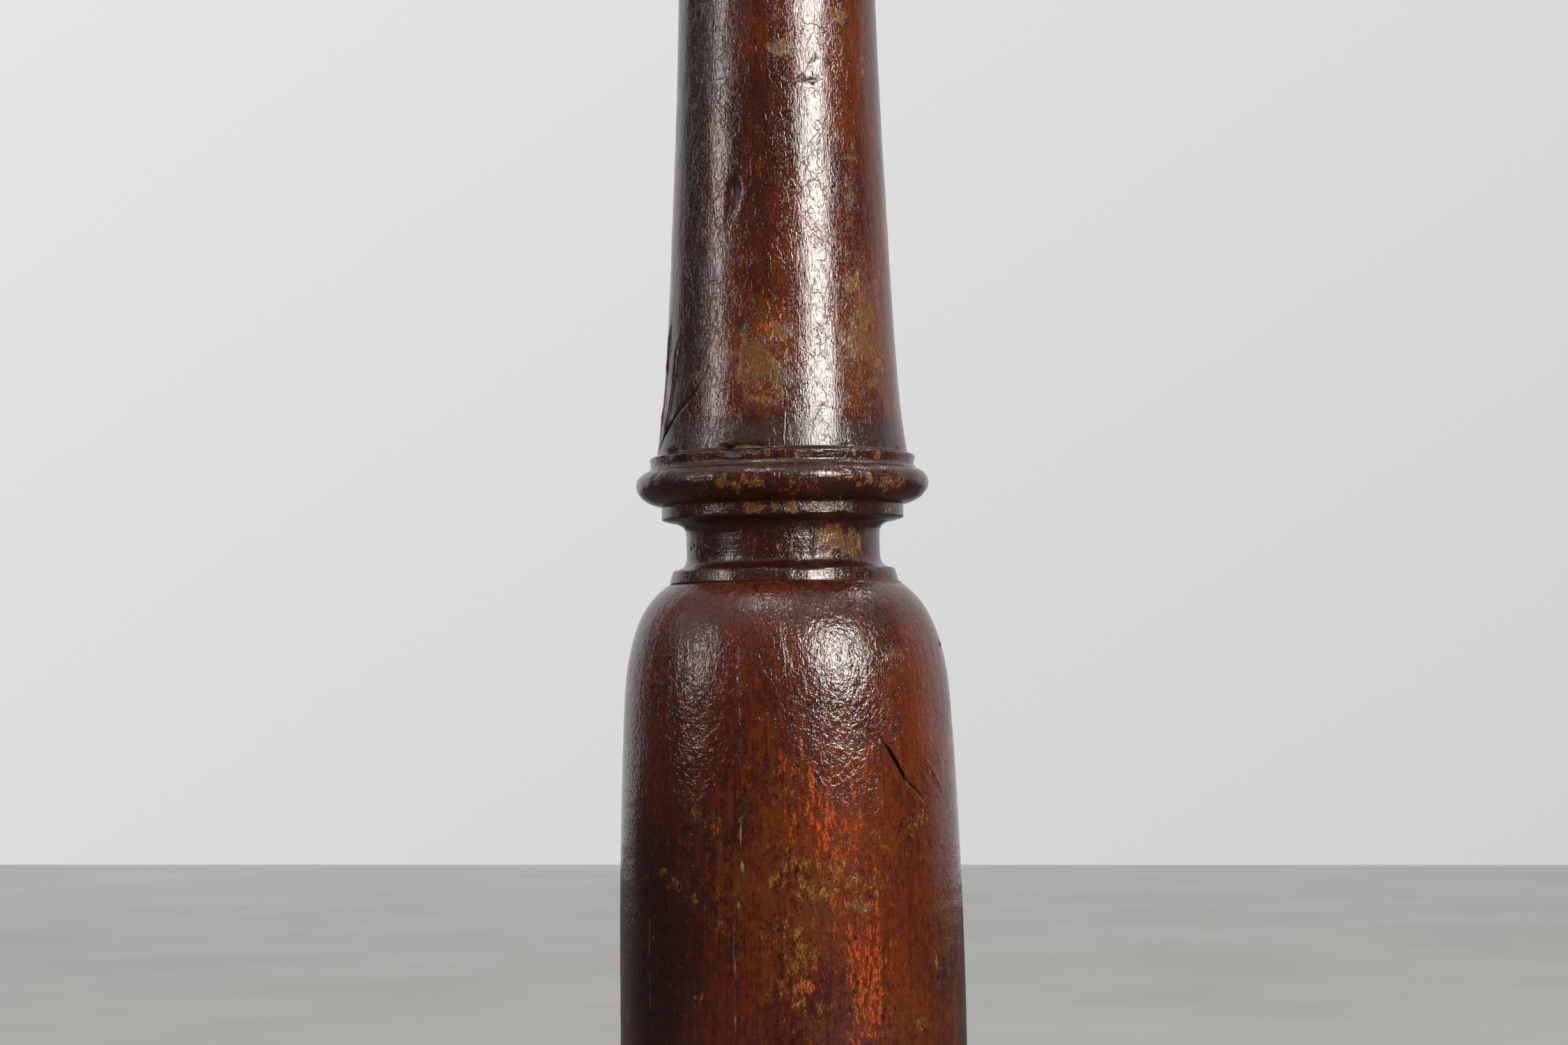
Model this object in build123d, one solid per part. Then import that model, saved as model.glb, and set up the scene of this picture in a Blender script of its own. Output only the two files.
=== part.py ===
"""A tall turned wooden floor candlestick with an iron pricket and a loose brass wax pan.

All lengths are millimetres. The frame is the floor under the stem: +Z runs up the stem's axis, and
the four bun feet stand on Z = 0. From the floor upwards the stick is four bun feet, a round plinth
glued up from three boards, a cushion moulding, an ogee dome, a collar, a long belly-shaped baluster,
a tapered column with its torus and neck in one turning, a top collar, a cup, a drip dish, the wax
pan and the pricket. Turned tenons join the sections, and a wedge spreads the lowest tenon.
"""

import os
from math import cos, radians, sin

from build123d import *

# ---- driving dimensions -------------------------------------------------------------------------
GLUE_GAP = 0.1  # radial and end clearance of every glued joint

FOOT_COUNT = 4
FOOT_HEIGHT = 34.0
FOOT_RADIUS = 30.0  # widest radius of the bun
FOOT_CIRCLE_RADIUS = 140.0
FOOT_SPIGOT_RADIUS = 11.0
FOOT_SPIGOT_LENGTH = 20.0

PLINTH_RADIUS = 185.0
PLINTH_THICKNESS = 32.0
PLINTH_SEAM_X = 62.0  # the two glued seams of the plinth lie at plus and minus this X

CUSHION_RADIUS = 152.0
CUSHION_THICKNESS = 28.0
DOME_FOOT_RADIUS = 126.0
DOME_TOP_RADIUS = 62.0
DOME_HEIGHT = 50.0
COLLAR_RADIUS = 70.0
COLLAR_HEIGHT = 30.0

BALUSTER_FOOT_RADIUS = 52.0
BALUSTER_HEIGHT = 313.3
BELLY_RADIUS = 85.8
BELLY_HEIGHT = 78.0  # height of the widest point above the baluster's foot
SHOULDER_RADIUS = 81.0  # where the shoulder starts to round in
SHOULDER_DROP = 57.0  # height of the rounded shoulder
BALUSTER_TOP_RADIUS = 58.0

NECK_RADIUS = 48.4
NECK_FILLET_RADIUS = 55.6
NECK_FILLET_HEIGHT = 6.4
NECK_HEIGHT = 32.3  # from the baluster's top to the fillet under the torus
LOWER_FILLET_RADIUS = 60.5
LOWER_FILLET_HEIGHT = 6.4
TORUS_RADIUS = 73.1
TORUS_HEIGHT = 17.8
TORUS_TOP_RADIUS = 67.2  # where the torus meets the cove under the upper fillet
UPPER_FILLET_RADIUS = 66.4
UPPER_FILLET_HEIGHT = 8.0
SHAFT_FOOT_RADIUS = 62.7
SHAFT_WAIST_RADIUS = 49.5  # the narrowest part of the column
SHAFT_TOP_RADIUS = 55.0
SHAFT_HEIGHT = 478.0

TOP_COLLAR_RADIUS = 66.0
TOP_COLLAR_HEIGHT = 32.0
CUP_NECK_RADIUS = 44.0
CUP_RADIUS = 82.0
CUP_HEIGHT = 74.0
DISH_RADIUS = 112.0
DISH_FOOT_RADIUS = 64.0
DISH_HEIGHT = 40.0
DISH_FLOOR_HEIGHT = 24.0  # from the underside to the floor that the pan rests on
DISH_RECESS_RADIUS = 88.0
DISH_MOUTH_RADIUS = 102.0

BASE_TENON_RADIUS = 23.0
NECK_TENON_RADIUS = 22.0
NECK_TENON_LENGTH = 66.0
TOP_TENON_RADIUS = 18.0
CUP_TENON_DEPTH = 34.0  # how far the column's top tenon reaches into the cup
DISH_SPIGOT_RADIUS = 17.0
DISH_SPIGOT_LENGTH = 18.0
KERF_WIDTH = 3.6
KERF_DEPTH = 34.0

PAN_WALL = 1.6
PAN_FLOOR_RADIUS = 80.0
PAN_RIM_RADIUS = 98.0
PAN_DEPTH = 15.0
PAN_BEAD_RADIUS = 1.8
PAN_HOLE_RADIUS = 8.5

PRICKET_TANG_RADIUS = 4.8
PRICKET_TANG_LENGTH = 58.0
PRICKET_COLLAR_RADIUS = 7.5
PRICKET_SHANK_RADIUS = 4.5
PRICKET_SHANK_LENGTH = 30.0
PRICKET_POINT_LENGTH = 58.0

NAIL_COUNT = 6
NAIL_CIRCLE_RADIUS = 96.0
NAIL_SHANK_RADIUS = 2.2
NAIL_HEAD_RADIUS = 6.0
NAIL_HEAD_THICKNESS = 2.4
NAIL_LENGTH = 50.0

# ---- levels, worked out from the dimensions above ------------------------------------------------
PLINTH_Z = FOOT_HEIGHT
CUSHION_Z = PLINTH_Z + PLINTH_THICKNESS
DOME_Z = CUSHION_Z + CUSHION_THICKNESS
COLLAR_Z = DOME_Z + DOME_HEIGHT
BALUSTER_Z = COLLAR_Z + COLLAR_HEIGHT
NECK_Z = BALUSTER_Z + BALUSTER_HEIGHT
LOWER_FILLET_Z = NECK_Z + NECK_HEIGHT
TORUS_Z = LOWER_FILLET_Z + LOWER_FILLET_HEIGHT
UPPER_FILLET_Z = TORUS_Z + TORUS_HEIGHT
SHAFT_Z = UPPER_FILLET_Z + UPPER_FILLET_HEIGHT
TOP_COLLAR_Z = SHAFT_Z + SHAFT_HEIGHT
CUP_Z = TOP_COLLAR_Z + TOP_COLLAR_HEIGHT
DISH_Z = CUP_Z + CUP_HEIGHT
PAN_Z = DISH_Z + DISH_FLOOR_HEIGHT
PAN_TOP_FACE_Z = PAN_Z + PAN_WALL


# ---- small builders ------------------------------------------------------------------------------
def turned(*edges):
    """The solid that the closed outline of edges, drawn as (radius, height), sweeps about the stem."""
    outline = Plane.XZ * make_face(Curve() + list(edges))
    return revolve(outline, Axis.Z, 360)


def rod(radius, low, high, at=(0.0, 0.0)):
    """An upright cylinder between two heights."""
    return Pos(at[0], at[1], low) * Cylinder(
        radius, high - low, align=(Align.CENTER, Align.CENTER, Align.MIN)
    )


def on_circle(count, radius, first_degrees=0.0):
    """Evenly spaced places on a circle about the stem."""
    step = 360.0 / count
    angles = [radians(first_degrees + step * i) for i in range(count)]
    return [(radius * cos(a), radius * sin(a)) for a in angles]


def torus_edge(foot, top, bulge):
    """The outer half of a round moulding, from its foot to its top, standing out to bulge."""
    middle = (bulge, (foot[1] + top[1]) / 2)
    return ThreePointArc(foot, middle, top)


def save(shape, name):
    """Writes one node's STEP file."""
    export_step(shape, f"parts/{name}.step")


# ---- base ----------------------------------------------------------------------------------------
FOOT_PLACES = on_circle(FOOT_COUNT, FOOT_CIRCLE_RADIUS, first_degrees=45.0)
NAIL_PLACES = on_circle(NAIL_COUNT, NAIL_CIRCLE_RADIUS, first_degrees=0.0)


def bun_foot(place):
    """A flattened ball with a narrow pad below, a fillet above, and a spigot into the plinth."""
    pad_radius = 17.0
    fillet_radius = 20.0
    bun_low = (pad_radius + 2.0, 3.0)
    bun_high = (fillet_radius, FOOT_HEIGHT - 5.0)
    bun = turned(
        Polyline((0, 0), (pad_radius, 0), bun_low),
        torus_edge(bun_low, bun_high, FOOT_RADIUS),
        Polyline(bun_high, (fillet_radius, FOOT_HEIGHT), (0, FOOT_HEIGHT), (0, 0)),
    )
    spigot = rod(FOOT_SPIGOT_RADIUS, FOOT_HEIGHT, FOOT_HEIGHT + FOOT_SPIGOT_LENGTH)
    return Pos(place[0], place[1], 0) * (bun + spigot)


def plinth_disc():
    """The whole plinth with its moulded edge, bored for the feet, the nails and the stem's tenon."""
    spigot_end_room = 1.0
    chamfer = 3.0
    lip = 10.0
    step = 6.0
    crown = PLINTH_Z + PLINTH_THICKNESS
    ovolo_foot = (PLINTH_RADIUS, PLINTH_Z + lip)
    ovolo_middle = (PLINTH_RADIUS - 4.0, crown - step - 4.4)
    ovolo_top = (PLINTH_RADIUS - 16.0, crown - step)
    step_radius = PLINTH_RADIUS - 20.0
    disc = turned(
        Polyline(
            (0, PLINTH_Z),
            (PLINTH_RADIUS - chamfer, PLINTH_Z),
            (PLINTH_RADIUS, PLINTH_Z + chamfer),
            ovolo_foot,
        ),
        ThreePointArc(ovolo_foot, ovolo_middle, ovolo_top),
        Polyline(
            ovolo_top,
            (step_radius, crown - step),
            (step_radius, crown),
            (0, crown),
            (0, PLINTH_Z),
        ),
    )
    disc -= rod(BASE_TENON_RADIUS + GLUE_GAP, PLINTH_Z - 1, crown + 1)
    for place in FOOT_PLACES:
        disc -= rod(
            FOOT_SPIGOT_RADIUS + GLUE_GAP,
            PLINTH_Z - 1,
            PLINTH_Z + FOOT_SPIGOT_LENGTH + spigot_end_room,
            place,
        )
    return disc - nails(GLUE_GAP)


def plinth_boards():
    """The plinth's disc parted along its two glue seams into three boards."""
    disc = plinth_disc()
    side = 2.5 * PLINTH_RADIUS
    height = 3 * PLINTH_THICKNESS
    middle_width = 2 * PLINTH_SEAM_X
    middle = Pos(0, 0, PLINTH_Z) * Box(middle_width, side, height)
    beyond = (side + middle_width) / 2
    left = Pos(-beyond, 0, PLINTH_Z) * Box(side, side, height)
    right = Pos(beyond, 0, PLINTH_Z) * Box(side, side, height)
    return {
        "plinth_board_left": disc & left,
        "plinth_board_middle": disc & middle,
        "plinth_board_right": disc & right,
    }


def nails(grow=0.0):
    """Six clout nails driven up through the plinth into the cushion, or their holes if grown."""
    head_low = PLINTH_Z - (1.0 if grow else 0.0)
    head_top = PLINTH_Z + NAIL_HEAD_THICKNESS + grow
    tip = PLINTH_Z + NAIL_LENGTH
    group = None
    for place in NAIL_PLACES:
        head = rod(NAIL_HEAD_RADIUS + grow, head_low, head_top, place)
        shank = rod(NAIL_SHANK_RADIUS + grow, head_low, tip + grow, place)
        nail = head + shank
        group = nail if group is None else group + nail
    return group


def base_cushion():
    """A flat disc with a full round edge between two fillets."""
    top = CUSHION_Z + CUSHION_THICKNESS
    lower_fillet = CUSHION_RADIUS - 11.0
    upper_fillet = CUSHION_RADIUS - 14.0
    round_foot = (lower_fillet, CUSHION_Z + 3.0)
    round_top = (lower_fillet, top - 5.0)
    cushion = turned(
        Polyline((0, CUSHION_Z), (lower_fillet, CUSHION_Z), round_foot),
        torus_edge(round_foot, round_top, CUSHION_RADIUS),
        Polyline(
            round_top,
            (upper_fillet, top - 5.0),
            (upper_fillet, top),
            (0, top),
            (0, CUSHION_Z),
        ),
    )
    cushion -= rod(BASE_TENON_RADIUS + GLUE_GAP, CUSHION_Z - 1, top + 1)
    return cushion - nails(GLUE_GAP)


def base_dome():
    """An ogee: it swells out of a low fillet, then sweeps in to the seat of the collar."""
    top = DOME_Z + DOME_HEIGHT
    fillet_height = 5.0
    seat_height = 5.0
    start = (DOME_FOOT_RADIUS, DOME_Z + fillet_height)
    end = (DOME_TOP_RADIUS, top - seat_height)
    middle = (DOME_FOOT_RADIUS - 32.0, DOME_Z + 27.0)
    dome = turned(
        Polyline((0, DOME_Z), (DOME_FOOT_RADIUS, DOME_Z), start),
        Spline(start, middle, end, tangents=[(-0.25, 1.0), (-0.25, 1.0)]),
        Polyline(end, (DOME_TOP_RADIUS, top), (0, top), (0, DOME_Z)),
    )
    return dome - rod(BASE_TENON_RADIUS + GLUE_GAP, DOME_Z - 1, top + 1)


def base_collar():
    """A ring threaded on the baluster's tenon: a fillet, a torus and a cove up to the baluster."""
    top = COLLAR_Z + COLLAR_HEIGHT
    fillet = COLLAR_RADIUS - 8.0
    torus_foot = COLLAR_Z + 4.0
    torus_top = COLLAR_Z + 19.0
    cove_start = (BALUSTER_FOOT_RADIUS + 6.0, torus_top)
    cove_end = (BALUSTER_FOOT_RADIUS + 2.0, top - 3.0)
    ring = turned(
        Polyline((0, COLLAR_Z), (fillet, COLLAR_Z), (fillet, torus_foot)),
        torus_edge((fillet, torus_foot), (fillet, torus_top), COLLAR_RADIUS),
        Line((fillet, torus_top), cove_start),
        ThreePointArc(cove_start, (BALUSTER_FOOT_RADIUS - 1.0, top - 7.6), cove_end),
        Polyline(cove_end, (BALUSTER_FOOT_RADIUS + 2.0, top), (0, top), (0, COLLAR_Z)),
    )
    return ring - rod(BASE_TENON_RADIUS + GLUE_GAP, COLLAR_Z - 1, top + 1)


def tenon_wedge():
    """The hardwood wedge driven into the kerf of the lowest tenon from below."""
    width = 1.7 * BASE_TENON_RADIUS
    low = PLINTH_Z
    high = PLINTH_Z + KERF_DEPTH - 2.0
    half_low = KERF_WIDTH / 2
    half_high = KERF_WIDTH / 2 - 1.2
    side = Plane.YZ * make_face(
        Polyline(
            (-half_low, low),
            (half_low, low),
            (half_high, high),
            (-half_high, high),
            (-half_low, low),
        )
    )
    return extrude(side, width / 2, both=True)


# ---- stem ----------------------------------------------------------------------------------------
def baluster():
    """The long belly, with a mortise in its top and a tenon down through the whole base."""
    foot = BALUSTER_Z
    top = NECK_Z
    belly = (BELLY_RADIUS, foot + BELLY_HEIGHT)
    shoulder = (SHOULDER_RADIUS, top - SHOULDER_DROP)
    foot_fillet = (BALUSTER_FOOT_RADIUS, foot + 4.0)
    body = turned(
        Polyline((0, foot), (BALUSTER_FOOT_RADIUS, foot), foot_fillet),
        Spline(
            foot_fillet,
            (BELLY_RADIUS - 10.4, foot + 34.0),
            belly,
            tangents=[(1.0, 0.75), (0.0, 1.0)],
        ),
        Spline(
            belly,
            (BELLY_RADIUS - 0.9, foot + BELLY_HEIGHT + 80.0),
            (BELLY_RADIUS - 3.1, foot + BELLY_HEIGHT + 147.0),
            shoulder,
            tangents=[(0.0, 1.0), (-0.06, 1.0)],
        ),
        Spline(
            shoulder,
            (BALUSTER_TOP_RADIUS + 18.8, top - 29.5),
            (BALUSTER_TOP_RADIUS + 10.3, top - 10.2),
            (BALUSTER_TOP_RADIUS, top),
            tangents=[(-0.06, 1.0), (-1.0, 0.72)],
        ),
        Polyline((BALUSTER_TOP_RADIUS, top), (0, top), (0, foot)),
    )
    mortise = rod(NECK_TENON_RADIUS + GLUE_GAP, top - NECK_TENON_LENGTH - 2.0, top + 1)
    tenon = rod(BASE_TENON_RADIUS, PLINTH_Z, foot)
    kerf = Pos(0, 0, PLINTH_Z) * Box(
        4 * BASE_TENON_RADIUS,
        KERF_WIDTH,
        KERF_DEPTH,
        align=(Align.CENTER, Align.CENTER, Align.MIN),
    )
    return body - mortise + (tenon - kerf)


def column():
    """The tapered shaft with its fillets, torus and neck, and a tenon at each end."""
    neck_top = LOWER_FILLET_Z
    neck_fillet_top = NECK_Z + NECK_FILLET_HEIGHT
    lower_cove_start = (NECK_RADIUS + 6.0, neck_fillet_top + 0.8)
    lower_cove_end = (NECK_RADIUS, neck_fillet_top + 7.0)
    upper_cove_start = (NECK_RADIUS, neck_top - 8.0)
    upper_cove_end = (LOWER_FILLET_RADIUS - 4.0, neck_top - 1.2)
    torus_low = (LOWER_FILLET_RADIUS, TORUS_Z)
    torus_high = (TORUS_TOP_RADIUS, TORUS_Z + TORUS_HEIGHT)
    shaft_foot = (SHAFT_FOOT_RADIUS, SHAFT_Z)
    shaft_top = (SHAFT_TOP_RADIUS, TOP_COLLAR_Z)
    body = turned(
        Polyline(
            (0, NECK_Z),
            (BALUSTER_TOP_RADIUS - 0.7, NECK_Z),
            (NECK_FILLET_RADIUS, neck_fillet_top),
            lower_cove_start,
        ),
        Spline(lower_cove_start, lower_cove_end, tangents=[(-1.0, 0.15), (0.0, 1.0)]),
        Line(lower_cove_end, upper_cove_start),
        Spline(upper_cove_start, upper_cove_end, tangents=[(0.0, 1.0), (1.0, 0.12)]),
        Polyline(upper_cove_end, (LOWER_FILLET_RADIUS, neck_top), torus_low),
        Spline(
            torus_low,
            (TORUS_RADIUS - 2.2, TORUS_Z + 5.4),
            (TORUS_RADIUS, TORUS_Z + 9.9),
            torus_high,
            tangents=[(1.0, 0.3), (-1.0, 0.32)],
        ),
        Polyline(
            torus_high,
            (UPPER_FILLET_RADIUS - 0.6, UPPER_FILLET_Z + 1.8),
            (UPPER_FILLET_RADIUS, SHAFT_Z - 1.6),
            shaft_foot,
        ),
        Spline(
            shaft_foot,
            (SHAFT_FOOT_RADIUS - 4.3, SHAFT_Z + 36.0),
            (SHAFT_FOOT_RADIUS - 9.0, SHAFT_Z + 122.0),
            (SHAFT_FOOT_RADIUS - 13.0, SHAFT_Z + 222.0),
            (SHAFT_WAIST_RADIUS, SHAFT_Z + 300.0),
            (SHAFT_WAIST_RADIUS + 1.8, SHAFT_Z + 420.0),
            shaft_top,
            tangents=[(-0.2, 1.0), (0.28, 1.0)],
        ),
        Polyline(shaft_top, (0, TOP_COLLAR_Z), (0, NECK_Z)),
    )
    lower_tenon = rod(NECK_TENON_RADIUS, NECK_Z - NECK_TENON_LENGTH, NECK_Z)
    upper_tenon = rod(TOP_TENON_RADIUS, TOP_COLLAR_Z, CUP_Z + CUP_TENON_DEPTH)
    return body + lower_tenon + upper_tenon


def top_collar():
    """A loose-turned ring on the column's upper tenon: fillet, torus, fillet."""
    top = TOP_COLLAR_Z + TOP_COLLAR_HEIGHT
    lower = TOP_COLLAR_RADIUS - 7.0
    upper = CUP_NECK_RADIUS + 10.0
    torus_foot = TOP_COLLAR_Z + 6.0
    torus_top = TOP_COLLAR_Z + 22.0
    ring = turned(
        Polyline((0, TOP_COLLAR_Z), (lower, TOP_COLLAR_Z), (lower, torus_foot)),
        torus_edge((lower, torus_foot), (lower, torus_top), TOP_COLLAR_RADIUS),
        Polyline(
            (lower, torus_top),
            (upper, torus_top + 1.0),
            (upper, top),
            (0, top),
            (0, TOP_COLLAR_Z),
        ),
    )
    return ring - rod(TOP_TENON_RADIUS + GLUE_GAP, TOP_COLLAR_Z - 1, top + 1)


def capital_cup():
    """A cove neck opening into a rounded cup, bored for the column below and the dish above."""
    top = CUP_Z + CUP_HEIGHT
    neck = (CUP_NECK_RADIUS, CUP_Z + 10.0)
    lip = (CUP_RADIUS, top - 12.0)
    bead = 5.0
    cup = turned(
        Polyline((0, CUP_Z), (CUP_NECK_RADIUS + 6.0, CUP_Z), (CUP_NECK_RADIUS + 6.0, CUP_Z + 4.0)),
        Spline((CUP_NECK_RADIUS + 6.0, CUP_Z + 4.0), neck, tangents=[(-1.0, 0.1), (0.0, 1.0)]),
        Spline(
            neck,
            (CUP_NECK_RADIUS + 8.0, CUP_Z + 26.0),
            (CUP_RADIUS - 9.0, CUP_Z + 42.0),
            lip,
            tangents=[(0.0, 1.0), (0.0, 1.0)],
        ),
        ThreePointArc(lip, (CUP_RADIUS - 2.4, top - 6.0), (CUP_RADIUS - 8.0, top - bead)),
        Polyline((CUP_RADIUS - 8.0, top - bead), (CUP_RADIUS - 11.0, top), (0, top), (0, CUP_Z)),
    )
    cup -= rod(TOP_TENON_RADIUS + GLUE_GAP, CUP_Z - 1, CUP_Z + CUP_TENON_DEPTH + 1.5)
    cup -= rod(DISH_SPIGOT_RADIUS + GLUE_GAP, top - DISH_SPIGOT_LENGTH - 1.0, top + 1)
    tang_foot = PAN_Z - PRICKET_TANG_LENGTH
    return cup - rod(PRICKET_TANG_RADIUS + GLUE_GAP, tang_foot - 0.5, top)


def drip_dish():
    """A shallow turned dish with an ogee underside, a raised rim and a spigot into the cup."""
    rim = DISH_Z + DISH_HEIGHT
    floor = DISH_Z + DISH_FLOOR_HEIGHT
    under = (DISH_FOOT_RADIUS, DISH_Z + 4.0)
    belly = (DISH_RADIUS - 20.0, DISH_Z + 12.0)
    edge_low = (DISH_RADIUS, rim - 14.0)
    edge_high = (DISH_RADIUS - 3.0, rim - 1.6)
    mouth = (DISH_MOUTH_RADIUS, rim - 1.6)
    dish = turned(
        Polyline((0, DISH_Z), (DISH_FOOT_RADIUS, DISH_Z), under),
        Spline(under, belly, edge_low, tangents=[(1.0, 0.1), (0.1, 1.0)]),
        ThreePointArc(edge_low, (DISH_RADIUS + 1.2, rim - 7.6), edge_high),
        ThreePointArc(edge_high, (DISH_RADIUS - 6.5, rim), mouth),
        Polyline(mouth, (DISH_RECESS_RADIUS, floor), (0, floor), (0, DISH_Z)),
    )
    dish += rod(DISH_SPIGOT_RADIUS, DISH_Z - DISH_SPIGOT_LENGTH, DISH_Z)
    return dish - rod(PRICKET_TANG_RADIUS + GLUE_GAP, DISH_Z - DISH_SPIGOT_LENGTH - 1, floor + 1)


# ---- metal ---------------------------------------------------------------------------------------
def wax_pan():
    """A spun brass pan with a flared wall, a rolled bead at the rim and a hole for the pricket."""
    rim_top = PAN_Z + PAN_DEPTH
    wall_foot = (PAN_FLOOR_RADIUS, PAN_Z)
    wall_top = (PAN_RIM_RADIUS, rim_top)
    sheet = turned(
        Polyline(
            (PAN_HOLE_RADIUS, PAN_Z),
            wall_foot,
            wall_top,
            (PAN_RIM_RADIUS - PAN_WALL, rim_top),
            (PAN_FLOOR_RADIUS - PAN_WALL, PAN_TOP_FACE_Z),
            (PAN_HOLE_RADIUS, PAN_TOP_FACE_Z),
            (PAN_HOLE_RADIUS, PAN_Z),
        )
    )
    bead = Pos(0, 0, rim_top) * Torus(PAN_RIM_RADIUS - PAN_WALL / 2, PAN_BEAD_RADIUS)
    return sheet + bead


def pricket():
    """A forged iron spike: a tang in the wood, a collar through the pan's hole, a shank, a point."""
    tang_foot = PAN_Z - PRICKET_TANG_LENGTH
    shank_top = PAN_TOP_FACE_Z + PRICKET_SHANK_LENGTH
    point_top = shank_top + PRICKET_POINT_LENGTH
    tip_radius = 0.6
    return turned(
        Polyline(
            (0, tang_foot),
            (PRICKET_TANG_RADIUS, tang_foot),
            (PRICKET_TANG_RADIUS, PAN_Z),
            (PRICKET_COLLAR_RADIUS, PAN_Z),
            (PRICKET_COLLAR_RADIUS, PAN_TOP_FACE_Z),
            (PRICKET_SHANK_RADIUS, PAN_TOP_FACE_Z),
            (PRICKET_SHANK_RADIUS, shank_top),
            (tip_radius, point_top),
            (0, point_top),
            (0, tang_foot),
        )
    )


# ---- writing -------------------------------------------------------------------------------------
def main():
    os.makedirs("parts", exist_ok=True)
    for number, place in enumerate(FOOT_PLACES, start=1):
        save(bun_foot(place), f"foot_{number}")
    for name, board in plinth_boards().items():
        save(board, name)
    save(nails(), "plinth_nails")
    save(base_cushion(), "base_cushion")
    save(base_dome(), "base_dome")
    save(base_collar(), "base_collar")
    save(tenon_wedge(), "tenon_wedge")
    save(baluster(), "baluster")
    save(column(), "column")
    save(top_collar(), "top_collar")
    save(capital_cup(), "capital_cup")
    save(drip_dish(), "drip_dish")
    save(wax_pan(), "wax_pan")
    save(pricket(), "pricket")


main()
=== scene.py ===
"""A tall turned wooden floor candlestick: painted, lacquered, worn and lacquered again."""

from functools import partial
from math import cos, pi, radians, sin

import bmesh
import bpy
import numpy as np
from mathutils import Matrix, Vector


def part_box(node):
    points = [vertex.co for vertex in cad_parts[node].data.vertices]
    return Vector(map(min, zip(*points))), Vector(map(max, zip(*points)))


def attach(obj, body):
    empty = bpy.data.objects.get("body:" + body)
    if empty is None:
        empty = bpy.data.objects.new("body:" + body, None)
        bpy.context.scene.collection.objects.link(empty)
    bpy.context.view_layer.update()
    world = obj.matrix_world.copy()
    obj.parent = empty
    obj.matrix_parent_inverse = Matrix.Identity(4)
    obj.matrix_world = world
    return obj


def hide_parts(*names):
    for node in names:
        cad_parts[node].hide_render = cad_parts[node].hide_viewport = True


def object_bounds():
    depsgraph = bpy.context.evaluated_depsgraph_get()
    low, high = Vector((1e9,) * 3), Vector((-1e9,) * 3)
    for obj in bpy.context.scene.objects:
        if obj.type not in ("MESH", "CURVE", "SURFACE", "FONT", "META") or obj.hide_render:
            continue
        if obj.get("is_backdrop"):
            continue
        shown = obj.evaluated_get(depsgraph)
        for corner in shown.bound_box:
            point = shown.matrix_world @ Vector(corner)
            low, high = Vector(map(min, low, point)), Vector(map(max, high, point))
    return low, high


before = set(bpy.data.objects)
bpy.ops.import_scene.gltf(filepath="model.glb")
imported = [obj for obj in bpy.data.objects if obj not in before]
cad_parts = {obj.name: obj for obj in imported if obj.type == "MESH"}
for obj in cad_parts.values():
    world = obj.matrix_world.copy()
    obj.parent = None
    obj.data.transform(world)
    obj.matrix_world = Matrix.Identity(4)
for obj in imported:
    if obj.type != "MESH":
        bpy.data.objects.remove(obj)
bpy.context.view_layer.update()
MM = 0.001


# ---- feet ----------------------------------------------------------------------------------------
# Four bun feet, turned from offcuts of the same wood as the stem, each glued by a spigot into the
# plinth. They had the same paint and lacquer as the rest, and the floor has rubbed it off the pads.
def section(node, azimuth, centre=(0.0, 0.0), core=0.0):
    """The outline of a turned node on one side of its axis: (radius, height) points, anticlockwise.

    It starts low on the axis, or low in the bore. Points within core of the axis are left out.
    """
    out = Vector((cos(radians(azimuth)), sin(radians(azimuth)), 0))
    axis = Vector((*centre, 0))
    solid = bmesh.new()
    solid.from_mesh(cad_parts[node].data)
    bmesh.ops.remove_doubles(solid, verts=solid.verts, dist=2e-6)
    parts = solid.verts[:] + solid.edges[:] + solid.faces[:]
    across = out.cross(Vector((0, 0, 1)))
    cut = bmesh.ops.bisect_plane(solid, geom=parts, plane_co=axis, plane_no=across, dist=1e-7)
    beside = {}
    for edge in [e for e in cut["geom_cut"] if isinstance(e, bmesh.types.BMEdge)]:
        ends = [((v.co - axis).dot(out), v.co.z) for v in edge.verts]
        if max(r for r, z in ends) < 1e-6:
            continue
        ends = [(round(max(r, 0.0), 6), round(z, 6)) for r, z in ends]
        if ends[0] != ends[1]:
            beside.setdefault(ends[0], []).append(ends[1])
            beside.setdefault(ends[1], []).append(ends[0])
    solid.free()
    loose = [p for p in beside if len(beside[p]) == 1]
    start = min(loose or beside, key=lambda p: (p[1], p[0]) if loose else (round(p[0], 4), p[1]))
    walk = [start]
    before = None
    while True:
        onward = [p for p in beside[walk[-1]] if p != before and p != walk[-1]]
        if not onward or onward[0] == start:
            break
        before = walk[-1]
        walk.append(onward[0])
    points = np.array(walk)
    turn = np.roll(points, -1, axis=0)
    if np.sum(points[:, 0] * turn[:, 1] - turn[:, 0] * points[:, 1]) < 0:
        points = np.vstack([points[:1], points[:0:-1]]) if not loose else points[::-1]
    if core:
        points = points[points[:, 0] > core]
        points = np.vstack([(0.0, points[0, 1]), points, (0.0, points[-1, 1])])
    return points


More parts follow.
